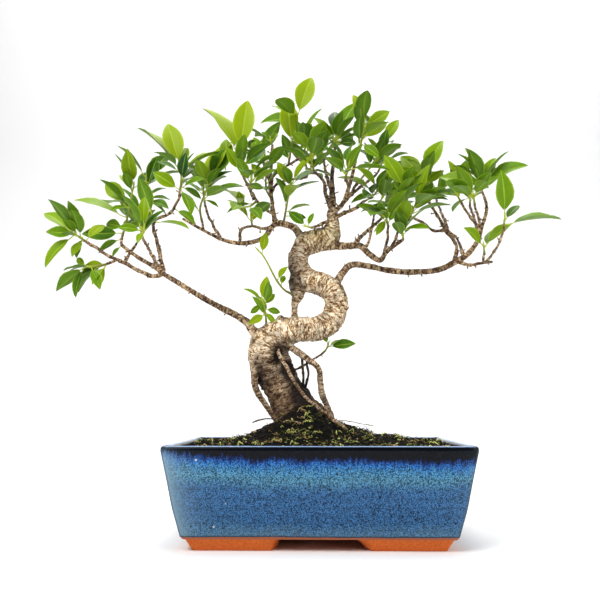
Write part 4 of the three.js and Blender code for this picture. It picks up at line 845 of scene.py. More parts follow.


# Fig bark: tan-grey cork drawn into short worm-like ridges that wrap the wood, dark brown in its creases,
# their near black partly painted shade, and pale on its crests; wet and darker near the soil, with painted
# shade that makes it black-brown in the hollows, under the bends and under the crown; browner and finer on
# young limbs, and grey-green where algae grow.
def makeBarkMaterial():
    material, tree = newMaterial("wrinkledFigBark")
    place = addNode(tree, "TexCoord", {}, "Object")
    crest, along, girth, dark, algae = (addNode(tree, "Attribute", {"attribute_name": key}, "Fac")
                                        for key in ("crest", "along", "girth", "dark", "algae"))
    # noises in four dimensions: slow over the place in space
    # and fast along the wood, so their cells wrap round it
    worms, folds = (addNode(tree, "TexNoise", {
        "noise_dimensions": "4D", "Vector": place, "Scale": 1 / (cell * mm), "Detail": detail,
        "Roughness": rough, "W": addNode(tree, "Math", {"operation": "MULTIPLY", 0: along, 1: cell / pitch})})
        for cell, pitch, detail, rough in (bark["worms"], bark["folds"]))
    # a crease runs where the first noise crosses its middle
    offMiddle = addNode(tree, "Math", {"operation": "SUBTRACT", 0: worms, 1: 0.5})
    offLine = addNode(tree, "Math", {"operation": "ABSOLUTE", 0: offMiddle})
    wormRidge = addNode(tree, "MapRange", {"Value": offLine, "From Max": 0.085, "To Max": 0.5})
    foldRidge = addNode(tree, "MapRange", {"Value": folds, "From Min": 0.38, "From Max": 0.6, "To Max": 0.3})
    fold = addNode(tree, "Math", {"operation": "ADD", 0: wormRidge, 1: foldRidge})
    # the level picks the colour from crease to crest, and the near-black creases are partly painted shade
    level = addNode(tree, "Math", {"operation": "MULTIPLY_ADD", 0: crest, 1: 0.4, 2: fold})
    old = addNode(tree, "ValToRGB", {"Fac": level, "stops": bark["oldStops"]})
    young = addNode(tree, "ValToRGB", {"Fac": level, "stops": bark["youngStops"]})
    age = addNode(tree, "MapRange", {"Value": girth, "From Min": bark["youngTo"] * mm,
                                     "From Max": bark["oldFrom"] * mm})
    wood = addNode(tree, "Mix", {"data_type": "RGBA", 0: age, 6: young, 7: old}, 2)
    patch = addNode(tree, "TexNoise", {"Vector": place, "Scale": 1 / (bark["patchSize"] * mm), "Detail": 4.0,
                                       "Roughness": 0.6})
    mottle = addNode(tree, "MapRange", {"Value": patch, "From Min": 0.34, "From Max": 0.62, "To Min": 0.5,
                                        "To Max": 1.1})
    # damp fades upwards behind a ragged edge, and thin wood shows less of it
    height = addNode(tree, "SeparateXYZ", {0: place}, "Z")
    ragged = addNode(tree, "Math", {"operation": "MULTIPLY_ADD", 0: patch, 1: 60 * mm, 2: height})
    damp = addNode(tree, "MapRange", {"Value": ragged, "From Min": bark["dampRise"][0] * mm,
                                      "From Max": bark["dampRise"][1] * mm, "To Min": 1.0, "To Max": 0.0})
    stout = addNode(tree, "MapRange", {"Value": girth, "From Min": 4 * mm, "From Max": 12 * mm, "To Min": 0.1,
                                       "To Max": 0.8})
    dampWood = addNode(tree, "Math", {"operation": "MULTIPLY", 0: damp, 1: stout})
    # mottle, algae and damp tint the wood, and the last tint is painted shade in the dark places
    for factor, tint in ((1.0, mottle), (algae, bark["algaeTint"]), (dampWood, bark["dampTint"]),
                         (dark, bark["paintedShadeTint"])):
        wood = addNode(tree, "Mix", {"data_type": "RGBA", "blend_type": "MULTIPLY", 0: factor, 6: wood,
                                     7: tint}, 2)
    bump = addNode(tree, "Bump", {"Height": fold, "Strength": 1.0, "Distance": 1.1 * mm})
    surface = addNode(tree, "BsdfPrincipled", {"Base Color": wood, "Roughness": 0.7,
                                               "Specular IOR Level": 0.25, "Normal": bump})
    addNode(tree, "OutputMaterial", {"Surface": surface})
    return material


barkMaterial = makeBarkMaterial()
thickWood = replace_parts(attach(makeThickWood(barkMaterial), "root"), "trunk")
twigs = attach(makeTwigs(barkMaterial), "root")
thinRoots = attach(makeThinRoots(barkMaterial), "root")
print("trunk and limbs made", [len(piece.data.polygons) for piece in (thickWood, twigs, thinRoots)])


foliage = {
    "petiolePart": 0.18,  # of a leaf's whole length; these first values are the solids' own
    "bladeRatio": 0.46,
    "arch": 0.11,
    "leafStep": 2.4,
    "leafRoom": 6.5,
    "kinRoom": 3,
    "stemRoom": 2,
    "woodRoom": 1,
    "longestLeaf": 40,
    "ways": [(0, 0), (0, 14), (0, -14), (8, 22), (-8, -22), (-8, 30), (8, -30), (14, 40), (-14, -40)],
    "roundLength": (34, 16),  # mm, least length and range of the leaves round a shoot
    "roundOpening": (42, 34),  # degrees, least angle from the shoot and range
    "innerRoom": 3.6,  # least distance for the small leaves that fill each shoot, which the solids leave out
    "innerLeaves": 4,
    "innerLength": (27, 18),
    "innerOpening": (20, 34),
    "fold": 0.27,  # rise of a blade's edge over its midrib, of the half width
    "thickness": 0.5,  # mm
    "stalkRadius": (0.75, 0.5),  # mm, at its foot and at the blade
    "stemRadius": (1.45, 0.55),  # at its foot, and what it loses towards its end
    "greens": [(0.0, "#0c4026"), (0.22, "#2b5c0e"), (0.48, "#578608"), (0.72, "#769804"), (0.95, "#8ba202")],
    "lineColour": "#bccf48",  # of midrib, veins and margin
    "veinWave": 88.0,  # radians along a blade, which makes 14 side veins
    "undersideColour": "#86a83c",
    "stalkStops": [(0.5, "#b6c43e"), (0.75, "#98a540"), (1.0, "#6d5a3a")],  # from green to brown wood
    "glow": 0.25,  # part of the light that passes through a blade
}


# How many small inner leaves a shoot tries to hold, where it isn't the usual number.
innerCounts = {
    "crown_right": 5, "crown_back": 5, "top_centre": 6, "top_left": 5, "top_right": 5, "top_far": 6,
    "top_low": 5, "back_top": 5, "fore_crown": 4, "fore_top": 4, "back_crown": 4, "back_top_right": 4,
    "middle_centre": 5, "middle_new": 5, "right_crown": 5, "left_end": 5, "left_under": 5, "left_upper": 6,
    "inner_stem": 0, "right_tip": 0, "right_fork": 0, "low_shoot": 0, "bend_leaf": 0, "loop_shoot": 1,
    "arm_side": 1, "inner_leaves": 2, "twin_leaf": 2, "peak": 2, "left_top": 4
}


# Leaves that the solids leave out: shoot, place of the stalk's foot and of the tip in mm, turn and age.
extraLeaves = [
    ("left_end", (-247, -64, 312), (-254, -66, 290), 20, "d"),
    ("left_upper", (-217, -24, 312), (-226, -30, 299), 30, "m"),
    ("left_under", (-222, -60, 284), (-243, -66, 281), -10, "y"),
    ("left_under", (-222, -61, 282), (-234, -72, 262), 35, "f"),
    ("left_arm", (-107, 6, 408), (-108, 12, 452), 5, "f"),
    ("left_inner", (-158, -28, 352), (-134, -34, 337), 40, "m"),
    ("arm_side", (-86, 12, 362), (-92, 8, 384), 0, "y"),
]


# The number from 0 to 1 that the solids' rule draws for n.
def draw(n):
    value = math.sin(n * 12.9898 + 4.1) * 43758.5453
    return value - math.floor(value)


# A leaf's frame from the way it points in the picture plane, how far it leans back, and its turn.
def frontFrame(heading, lean, turn):
    h, a, t = np.radians([heading, lean, turn])
    along = np.array([math.cos(h) * math.cos(a), math.sin(a), math.sin(h) * math.cos(a)])
    toFront = unit(np.array([0, -1.0, 0]) + along * along[1])
    upward = np.cross(toFront, along)
    if upward[2] < 0:
        upward = -upward
    return along, toFront * math.cos(t) + upward * math.sin(t)


# The frame of leaf number n round a shoot: it turns by the
# golden angle, and opens from the shoot by some degrees.
def roundFrame(axis, n, seed, opening):
    side = unit(np.cross([1.0, 0, 0] if abs(axis[2]) > 0.8 else [0, 0, 1.0], axis))
    other = np.cross(axis, side)
    angle = 2.39996 * n + 6.28 * draw(seed)
    spread = math.radians(opening[0] + opening[1] * draw(seed + 1))
    outward = side * math.cos(angle) + other * math.sin(angle)
    along = unit(axis * math.cos(spread) + outward * math.sin(spread))
    tilt = np.array([draw(seed + 2) - 0.5, draw(seed + 3) - 0.5, 1])
    return along, unit(tilt - along * (tilt @ along))


def midrib(leaf, v):
    blade = leaf["length"] * (1 - foliage["petiolePart"])
    v = np.asarray(v)[..., None]
    return (leaf["root"] + leaf["along"] * (leaf["length"] * foliage["petiolePart"] + blade * v)
            - leaf["face"] * blade * foliage["arch"] * v ** 2)


def bladePoints(leaf):
    across = np.cross(leaf["along"], leaf["face"])
    half = leaf["length"] * (1 - foliage["petiolePart"]) * foliage["bladeRatio"] / 2
    points = [midrib(leaf, [0, 0.15, 0.3, 0.45, 0.6, 0.75, 0.9, 1])]
    for v, part in ((0.2, 0.75), (0.4, 0.95), (0.6, 0.9), (0.8, 0.55)):
        for sign in (-1, 1):
            points.append(midrib(leaf, [v]) + across * sign * part * half)
    return np.concatenate(points)


# Least distance between two sets of points.
def nearest(points, others):
    if not len(others):
        return math.inf
    square = (points ** 2).sum(1)[:, None] - 2 * points @ others.T + (others ** 2).sum(1)[None]
    return math.sqrt(max(square.min(), 0))


# A point and direction at part t of a route's length.
def alongShoot(route, t):
    route = np.asarray(route, float)
    lengths = np.linalg.norm(np.diff(route, axis=0), axis=1)
    ends = np.concatenate([[0], np.cumsum(lengths)])
    k = min(int(np.searchsorted(ends, t * ends[-1], side="right")) - 1, len(lengths) - 1)
    axis = (route[k + 1] - route[k]) / lengths[k]
    return route[k] + axis * (t * ends[-1] - ends[k]), axis


# Lays out every leaf by the solids' own rule: each takes the first way to turn that leaves it room.
def placeLeaves():
    wood = np.concatenate([smoothRoute(route, 8)[:, :3] for route in [*limbs.values(), trunkRoute]])
    stems = {name: smoothRoute(shoot["route"], 6) for name, shoot in shoots.items()}
    placed, leavesOf = [], {name: [] for name in shoots}

    def place(name, makeFrame, root, length):
        best = None
        others = [stems[other] for other in shoots if other != name]
        reach = length + foliage["longestLeaf"]
        near = [item for item in placed if np.linalg.norm(item["root"] - root) < reach]
        kin = [item["points"] for item in near if item["name"] == name]
        strangers = [item["points"] for item in near if item["name"] != name]
        kin, strangers = (np.concatenate(some) if some else [] for some in (kin, strangers))
        for turn, tilt in foliage["ways"]:
            along, face = makeFrame(turn, tilt)
            leaf = {"name": name, "root": root, "along": along, "face": face, "length": length}
            leaf["points"] = bladePoints(leaf)
            leaf["room"] = min(nearest(leaf["points"], strangers),
                               nearest(leaf["points"], kin) + foliage["kinRoom"],
                               nearest(leaf["points"], wood) + foliage["woodRoom"],
                               nearest(leaf["points"], np.concatenate(others)) + foliage["stemRoom"])
            if best is None or leaf["room"] > best["room"]:
                best = leaf
            if best["room"] > foliage["leafRoom"]:
                break
        return best

    def keep(leaf):
        placed.append(leaf)
        leavesOf[leaf["name"]].append(leaf)

    for name, shoot in shoots.items():
        route, leaves = shoot["route"], shoot["leaves"]
        length = np.linalg.norm(np.diff(np.asarray(route, float), axis=0), axis=1).sum()
        for i, (part, heading, lean, size, turn) in enumerate(leaves):
            sharing = sum(other[0] == part for other in leaves[i + 1:])
            step = sharing * foliage["leafStep"] / length
            root, _ = alongShoot(route, abs(part / 10 - (-step if part < 5 else step)))
            keep(place(name, lambda dh, dl: frontFrame(heading + dh, lean + dl, turn), root, size))
    for s, (name, shoot) in enumerate(shoots.items()):
        more = shoot["more"]
        for n in range(more):
            seed = 97 * s + 7 * n
            root, axis = alongShoot(shoot["route"], 1 - 0.8 * n / more)
            least, extra = foliage["roundLength"]
            leaf = place(name, lambda dh, dl: roundFrame(axis, n + dh / 14, seed + dl,
                                                         foliage["roundOpening"]),
                         root, least + extra * draw(seed + 4))
            if leaf["room"] > foliage["leafRoom"]:
                keep(leaf)
    for s, name in enumerate(shoots):
        for n in range(innerCounts.get(name, foliage["innerLeaves"])):
            seed = 4001 + 61 * s + 17 * n
            least, extra = foliage["innerLength"]
            root, axis = alongShoot(shoots[name]["route"], 0.12 + 0.8 * draw(seed + 5))
            leaf = place(name, lambda dh, dl: roundFrame(axis, n + 0.5 + dh / 9, seed + dl / 3,
                                                         foliage["innerOpening"]),
                         root, least + extra * draw(seed + 4))
            if leaf["room"] > foliage["innerRoom"]:
                keep(leaf)
    for name, root, tip, turn, age in extraLeaves:
        along = unit(np.subtract(tip, root).astype(float))
        heading, lean = math.degrees(math.atan2(along[2], along[0])), math.degrees(math.asin(along[1]))
        along, face = frontFrame(heading, lean, turn)
        keep({"name": name, "root": np.array(root, float), "along": along, "face": face, "points": None,
              "length": float(np.linalg.norm(np.subtract(tip, root))), "age": age})
    return leavesOf


leavesOf = placeLeaves()
print("leaves placed", sum(len(leaves) for leaves in leavesOf.values()))


# How far each leaf of a shoot has aged, one letter a leaf: y young
# and yellow-green, f fresh, m mid green, d dark and b blue-green.
leafAges = {
    "left_end": "fyfmff", "left_under": "ymfd", "left_upper": "dmfmfmydfm", "left_front": "fmf",
    "left_inner": "fddmdddf", "left_top": "mdfmbffyyd", "left_arm": "mmdydfm", "crown_left": "dfyyd",
    "arm_side": "yfm", "loop_shoot": "yy", "inner_stem": "yyf", "inner_leaves": "myfmyfmf",
    "twin_leaf": "mfm", "peak": "dyfmym", "crown_right": "ffmdm", "crown_back": "dmdd",
    "inner_green": "fdyydy", "up_left": "mfmmd", "top_centre": "dmfmmbd", "top_left": "mmfd",
    "top_right": "mffmydf", "top_far": "dmddfdm", "top_low": "mffmd", "middle_new": "ffmdm",
    "middle_first": "dm", "middle_centre": "dmffmd", "middle_end": "mmf", "right_crown": "ffmfffffm",
    "right_fore": "mffdm", "right_side": "fy", "right_end": "mffffmm", "right_low": "mfm", "right_tip": "mdm",
    "right_fork": "fmf", "low_shoot": "dff", "bend_leaf": "dm", "back_left": "ddm", "back_arm": "ddd",
    "back_crown": "mdd", "back_top": "ddmdd", "back_top_right": "mdd", "back_middle": "ddm",
    "back_right": "mdd", "back_right_end": "dmdd", "fore_crown": "mdm", "fore_top": "dmd"
}
# place of each age on the scale of greens
ageTones = {"y": 0.95, "f": 0.74, "m": 0.55, "d": 0.34, "b": 0.05}
# places along and across a blade where its points lie
bladeRows = np.array([0.06, 0.17, 0.31, 0.47, 0.63, 0.78, 0.915])
bladeColumns = np.array([-1, -0.5, 0, 0.5, 1])


# Half width of a blade along its length, of its widest: a sine with both ends drawn to points.
def bladeOutline(v):
    return np.sin(np.pi * v ** 0.92) ** 0.85


# Points of many blades at once. Across, a blade rises in a shallow V from its midrib with each half a little
# bulged; along, it droops by the square of the way along, and its edge waves.
def bladeSurface(leaves, v, u, chances):
    root, along, face = (np.array([leaf[key] for leaf in leaves])[:, None]
                         for key in ("root", "along", "face"))
    across = np.cross(along, face)
    length = np.array([leaf["length"] for leaf in leaves])[:, None]
    blade = length * (1 - foliage["petiolePart"])
    phase, bend, fold, breadth = (chances[:, k:k + 1] for k in range(4))
    half = blade * foliage["bladeRatio"] / 2 * (0.94 + 0.2 * breadth) * bladeOutline(v)[None]
    size = np.abs(u)[None]
    wave = 0.07 * np.sin(2 * np.pi * (1.4 * v[None] + phase)) * u[None] ** 2 * np.sign(u[None] + 0.01)
    rise = half * ((foliage["fold"] + 0.16 * fold) * size + 0.3 * size * (1 - size) + wave)
    droop = blade * (foliage["arch"] * (1 + 0.5 * bend) * v[None] ** 2 + 0.05 * v[None] ** 6)
    sideways = half * u[None] + blade * 0.05 * (phase - 0.5) * np.sin(np.pi * v)[None]
    ahead = length * foliage["petiolePart"] + blade * v[None]
    return root + along * ahead[..., None] + across * sideways[..., None] + face * (rise - droop)[..., None]


# Blades as thin closed solids: a grid above, a keel below, and a point at either end.
def blades(leaves, tones, chances):
    rows, columns = len(bladeRows), len(bladeColumns)
    v = np.concatenate([[0], np.repeat(bladeRows, columns), [1], bladeRows])
    u = np.concatenate([[0], np.tile(bladeColumns, rows), [0], np.zeros(rows)])
    points = bladeSurface(leaves, v, u, chances)
    keel = rows * columns + 2
    face = np.array([leaf["face"] for leaf in leaves])[:, None]
    points[:, keel:] -= face * foliage["thickness"]
    grid = 1 + np.arange(rows * columns).reshape(rows, columns)
    under = keel + np.arange(rows)
    tip = rows * columns + 1
    top = np.stack([grid[:-1, :-1], grid[1:, :-1], grid[1:, 1:], grid[:-1, 1:]], -1).reshape(-1, 4)
    left = np.stack([grid[:-1, 0], under[:-1], under[1:], grid[1:, 0]], -1)
    right = np.stack([under[:-1], grid[:-1, -1], grid[1:, -1], under[1:]], -1)
    quads = np.concatenate([top, left, right])
    zero, end = np.zeros(columns - 1, int), np.full(columns - 1, tip)
    triangles = np.concatenate([
        np.stack([zero, grid[0, :-1], grid[0, 1:]], -1), np.stack([end, grid[-1, 1:], grid[-1, :-1]], -1),
        [[0, under[0], grid[0, 0]], [0, grid[0, -1], under[0]]],
        [[tip, grid[-1, 0], under[-1]], [tip, under[-1], grid[-1, -1]]]])
    count, each = points.shape[:2]
    shift = np.arange(count)[:, None, None] * each
    return {"points": points.reshape(-1, 3), "quads": (quads[None] + shift).reshape(-1, 4),
            "triangles": (triangles[None] + shift).reshape(-1, 3),
            "values": {"across": np.tile(u, count), "along": np.tile(v, count),
                       "tone": np.repeat(tones, each), "stalk": 0.0,
                       "under": np.tile((np.arange(each) >= keel) * 1.0, count)}}


# A shoot: its blades, a stalk to each, its green stem and the
# bud at its end. A leaf without a given age gets one by chance.
def leafyShoot(name, seed):
    shoot, leaves = shoots[name], leavesOf[name]
    chance = np.random.default_rng(1000 + seed)
    ages = leafAges.get(name, "")
    tones = np.array([ageTones[leaf.get("age") or ages[i]] if i < len(ages) or "age" in leaf
                      else 0.22 + 0.42 * chance.random() for i, leaf in enumerate(leaves)])
    chances = chance.random((len(leaves), 4))
    shapes = [blades(leaves, np.clip(tones + 0.06 * (chance.random(len(leaves)) - 0.5), 0, 1), chances)]
    for leaf, tone in zip(leaves, tones):
        start, end = leaf["root"], midrib(leaf, 0.05)
        t = np.linspace(0, 1, 5)[:, None]
        centres = start + (end - start) * t - leaf["face"] * np.sin(np.pi * t) * leaf["length"] * 0.012
        radii = np.linspace(*foliage["stalkRadius"], 5)[:, None] * np.ones((1, 5))
        shapes.append(tube(centres, radii, {"across": 0, "along": 0, "tone": tone, "stalk": 1.0, "under": 0}))
    path = smoothRoute(np.asarray(shoot["route"], float), 2.5)
    part = np.linspace(0, 1, len(path))[:, None]
    foot, loss = foliage["stemRadius"]
    radii = (foot - loss * part) * (1 + 0.1 * np.sin(path.sum(1)[:, None] * 1.3)) * np.ones((1, 7))
    shapes.append(tube(path, radii, {"across": 0, "along": 0, "tone": 0.5, "stalk": 2 - 0.8 * part,
                                     "under": 0}))
    ahead = unit(path[-1] - path[-2])
    bud = path[-1] + ahead * np.linspace(-1, 1, 6)[:, None] * 4 + ahead * 3
    shapes.append(tube(bud, np.array([0.9, 1.1, 1.0, 0.7, 0.4, 0.12])[:, None] * np.ones((1, 6)),
                       {"across": 0, "along": 0, "tone": 0.9, "stalk": 1.0, "under": 0}))
    return joined(shapes)


# Fig leaf: a waxed leathery blade that lets some light through, so young ones glow
# yellow-green and old ones stay deep green, with a pale midrib and margin and
# faint side veins; stalks are pale green, and shoots brown towards their foot.
def makeLeafMaterial():
    material, tree = newMaterial("waxyFigLeaf")
    across, along, tone, stalk, under = (addNode(tree, "Attribute", {"attribute_name": key}, "Fac")
                                         for key in ("across", "along", "tone", "stalk", "under"))
    place = addNode(tree, "TexCoord", {}, "Object")
    mottle = addNode(tree, "TexNoise", {"Vector": place, "Scale": 1 / (5 * mm)})
    varied = addNode(tree, "Math", {"operation": "MULTIPLY_ADD", 0: mottle, 1: 0.24, 2: tone})
    level = addNode(tree, "Math", {"operation": "SUBTRACT", 0: varied, 1: 0.12})
    green = addNode(tree, "ValToRGB", {"Fac": level, "stops": foliage["greens"]})
    side = addNode(tree, "Math", {"operation": "ABSOLUTE", 0: across})
    rib = addNode(tree, "MapRange", {"Value": side, "From Min": 0.02, "From Max": 0.11, "To Min": 1.0,
                                     "To Max": 0.0})
    margin = addNode(tree, "MapRange", {"Value": side, "From Min": 0.8, "From Max": 0.98, "To Max": 0.9})
    # side veins slant forwards: a sine of the place along the blade, less a part of the place across it
    slant = addNode(tree, "Math", {"operation": "MULTIPLY_ADD", 0: side, 1: -0.2, 2: along})
    wave = addNode(tree, "Math", {"operation": "MULTIPLY", 0: slant, 1: foliage["veinWave"]})
    sine = addNode(tree, "Math", {"operation": "SINE", 0: wave})
    vein = addNode(tree, "MapRange", {"Value": sine, "From Min": 0.7, "To Max": 0.22})
    line = addNode(tree, "Math", {"operation": "MAXIMUM", 0: rib, 1: vein})
    lines = addNode(tree, "Math", {"operation": "MAXIMUM", 0: line, 1: margin})
    faint = addNode(tree, "Math", {"operation": "MULTIPLY", 0: lines, 1: 0.6})
    paler = addNode(tree, "Math", {"operation": "MULTIPLY", 0: under, 1: 0.5})
    halved = addNode(tree, "Math", {"operation": "MULTIPLY", 0: stalk, 1: 0.5})
    stalks = addNode(tree, "ValToRGB", {"Fac": halved, "stops": foliage["stalkStops"]})
    isStalk = addNode(tree, "Math", {"operation": "MINIMUM", 0: stalk, 1: 1.0})
    colour = green
    for factor, over in ((faint, foliage["lineColour"]), (paler, foliage["undersideColour"]),
                         (isStalk, stalks)):
        colour = addNode(tree, "Mix", {"data_type": "RGBA", 0: factor, 6: colour, 7: over}, 2)
    bump = addNode(tree, "Bump", {"Height": line, "Strength": 0.35, "Distance": 0.3 * mm})
    wax = addNode(tree, "BsdfPrincipled", {"Base Color": colour, "Roughness": 0.4, "Normal": bump,
                                           "Specular IOR Level": 0.14})
    glow = addNode(tree, "BsdfTranslucent", {"Color": colour, "Normal": bump})
    both = addNode(tree, "MixShader", {0: foliage["glow"], 1: wax, 2: glow})
    addNode(tree, "OutputMaterial", {"Surface": both})
    return material


leafMaterial = makeLeafMaterial()
for n, name in enumerate(shoots):
    piece = makePiece(f"leafy_{name}", leafyShoot(name, n), leafMaterial, sharpAngle=55)
    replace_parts(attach(piece, "root"), f"shoot_{name}")
print("leafy shoots made", len(shoots))


pot = {
    "halfWidth": 150, "halfDepth": 110,  # mm, at the rim
    "footHeight": 11.4,
    "floorTop": 20,
    "cornerRadius": 7.5,
    "drainHoleX": 70, "drainHoleRadius": 11,
    # mm from the middle: where the gap between two feet starts, is full, is full still, and ends
    "frontNotch": (-46, -38, 33, 47),
    "sideNotch": (-32, -24, 24, 32),
    # the section: how far in from the rim, and height in mm, or in the foot a part of the foot's height
    "foot": [(44, 1.0), (42.5, 1.0), (42, 0.92), (41.5, 0.12), (40.8, 0.02), (28.6, 0.0), (27.6, 0.02),
             (27.1, 0.1), (25.6, 0.35), (24, 0.6), (22.4, 0.85), (21.6, 0.97), (21.0, 1.0)],
    "band": [[19.4, 11.7], [18.7, 12.3], [18.3, 13.2]],
    "wall": [[17.4, 14.0, 0], [16.6, 17, 0], [14.2, 26, 0], [10.2, 41.6, 0], [5.3, 67.3, 0], [2.0, 84, 0],
             [0.5, 91.5, 0]],
    "lip": [[0.15, 93], [0, 94.5], [0, 96.2], [0.3, 97.6], [1.1, 98.6], [2.2, 99], [5.6, 99], [6.8, 98.7],
            [7.6, 97.8], [8, 96.4]],
    "inside": [[8.3, 93], [9, 90.5], [13, 70], [18, 50], [24.4, 26], [26, 22.2], [29, 20.3], [34, 20],
               [60, 20], [90, 20]],
    # glaze by height as a part of 100 mm, with the runs' noise
    # on top: from blue through teal and royal blue to black
    "glazeStops": [(0.15, "#2f5370"), (0.3, "#274a6e"), (0.56, "#294c70"), (0.68, "#3c667c"),
                   (0.76, "#2f6085"), (0.815, "#1b4b85"), (0.85, "#0a2150"), (0.88, "#02040a")],
    "runLength": 17,  # mm, how far the runs reach down, and how far their edge sways along the wall
    "sway": 9,
    "wormSize": 1.8,  # mm, of the crawled worms, which are drawn a little coarser than they are
    "paleGlaze": "#7d98a6",  # where it is thin, and as a painted highlight on the corners
    "grainColour": "#b9c4c6",
    "lipHighlightColour": "#7f9cc4",
    "paintedCornerReflection": "#101c30",
    "clayStops": [(0.3, "#c05b26"), (0.7, "#da7436")],
    "stainColour": "#96604f",
    "glazeEdge": (14.6, 15.0),  # mm, height of the glaze's lower edge
}


# A rounded rectangle of points, straight runs split every 5 mm or so and corners in 10 steps.
def potRing(inset):
    halfX, halfY = pot["halfWidth"] - inset, pot["halfDepth"] - inset
    radius = max(pot["cornerRadius"] - inset * 0.09, 3)
    points = []
    for sx, sy, start, runs, towards in ((1, 1, 0, 56, (-1, 0)), (-1, 1, 90, 40, (0, -1)),
                                         (-1, -1, 180, 56, (1, 0)), (1, -1, 270, 40, (0, 1))):
        angle = np.radians(start + np.arange(11) * 9)
        corner = np.stack([sx * (halfX - radius) + radius * np.cos(angle),
                           sy * (halfY - radius) + radius * np.sin(angle)], -1)
        run = 2 * (halfX if towards[0] else halfY) - 2 * radius
        steps = np.arange(1, runs)[:, None] / runs * run
        points += [corner, corner[-1] + steps * towards]
    return np.concatenate(points)


# How far the foot is lifted off the floor: 0 at the corner feet and nearly the foot's height between them.
def footLift(ring):
    def gap(place, notch):
        start, full, still, end = notch
        t = np.clip(np.minimum((place - start) / (full - start), (end - place) / (end - still)), 0, 1)
        return np.sqrt(np.clip(1 - (1 - t) ** 2, 0, 1))
    x, y = ring.T
    onLong = np.abs(y) / pot["halfDepth"] > np.abs(x) / pot["halfWidth"]
    return (pot["footHeight"] - 0.8) * np.where(onLong, gap(x, pot["frontNotch"]), gap(y, pot["sideNotch"]))


# The pot: its section, from the middle of the underside out, down the foot,
# up the wall, over the lip, down inside and along the floor, is carried
# round the rounded rectangle. In the foot, heights start from the lift.
def makePot(material):
    underside = pot["footHeight"] - 0.4
    rows = [np.column_stack([potRing(inset), np.full(len(potRing(inset)), underside)]) for inset in (90, 60)]
    lift = footLift(potRing(27))
    for inset, part in pot["foot"]:
        rows.append(np.column_stack([potRing(inset), lift + (pot["footHeight"] - lift) * part]))
    wall = smoothRoute(pot["wall"], 3.2)[:, :2]
    for inset, height in [*pot["band"], *wall, *pot["lip"], *pot["inside"]]:
        ring = potRing(inset)
        bow = 0.9 * np.exp(-((height - 15) / 9) ** 2) * np.cos(ring[:, 0] / 62)
        rows.append(np.column_stack([ring, height + bow]))
    rows = np.array(rows)
    count, around = rows.shape[:2]
    points = np.concatenate([rows.reshape(-1, 3), [[0, 0, underside], [0, 0, pot["floorTop"]]]])
    # how far each point is from the planes of its short and long walls
    away = np.abs(rows[..., :2])
    away = away.max(1, keepdims=True) - away
    # nearness to a corner: 1 there, fading along both walls
    edge = np.exp(-np.maximum(away.max(2) - 3, 0) / 11)
    # a painted dark reflection down each corner, where it turns to the short side
    turn = np.exp(-(away[..., 0] / 2.0) ** 4 - ((away[..., 1] - 6) / 6) ** 4)
    piece = makePiece("glazed_pot", {
        "points": points, "quads": gridQuads(count, around), "triangles": endFans(count, around),
        "values": {"edge": np.append(edge.ravel(), [0, 0]),
                   "turn": np.append(turn.ravel(), [0, 0])}}, material)
    for x in (-pot["drainHoleX"], pot["drainHoleX"]):
        path = np.array([[x, 0, 5.0], [x, 0, 12], [x, 0, 16], [x, 0, 25]])
        hole = tube(path, np.full((4, 40), float(pot["drainHoleRadius"])), tipOut=0.0)
        cutter = makePiece("cutter", hole, material)
        cut = piece.modifiers.new("drain", "BOOLEAN")
        cut.operation, cut.object, cut.solver = "DIFFERENCE", cutter, "EXACT"
        applyModifiers(piece)
        bpy.data.objects.remove(cutter)
    piece.data.polygons.foreach_set("use_smooth", np.ones(len(piece.data.polygons), bool))
    piece.data.set_sharp_from_angle(angle=math.radians(38))
    return piece
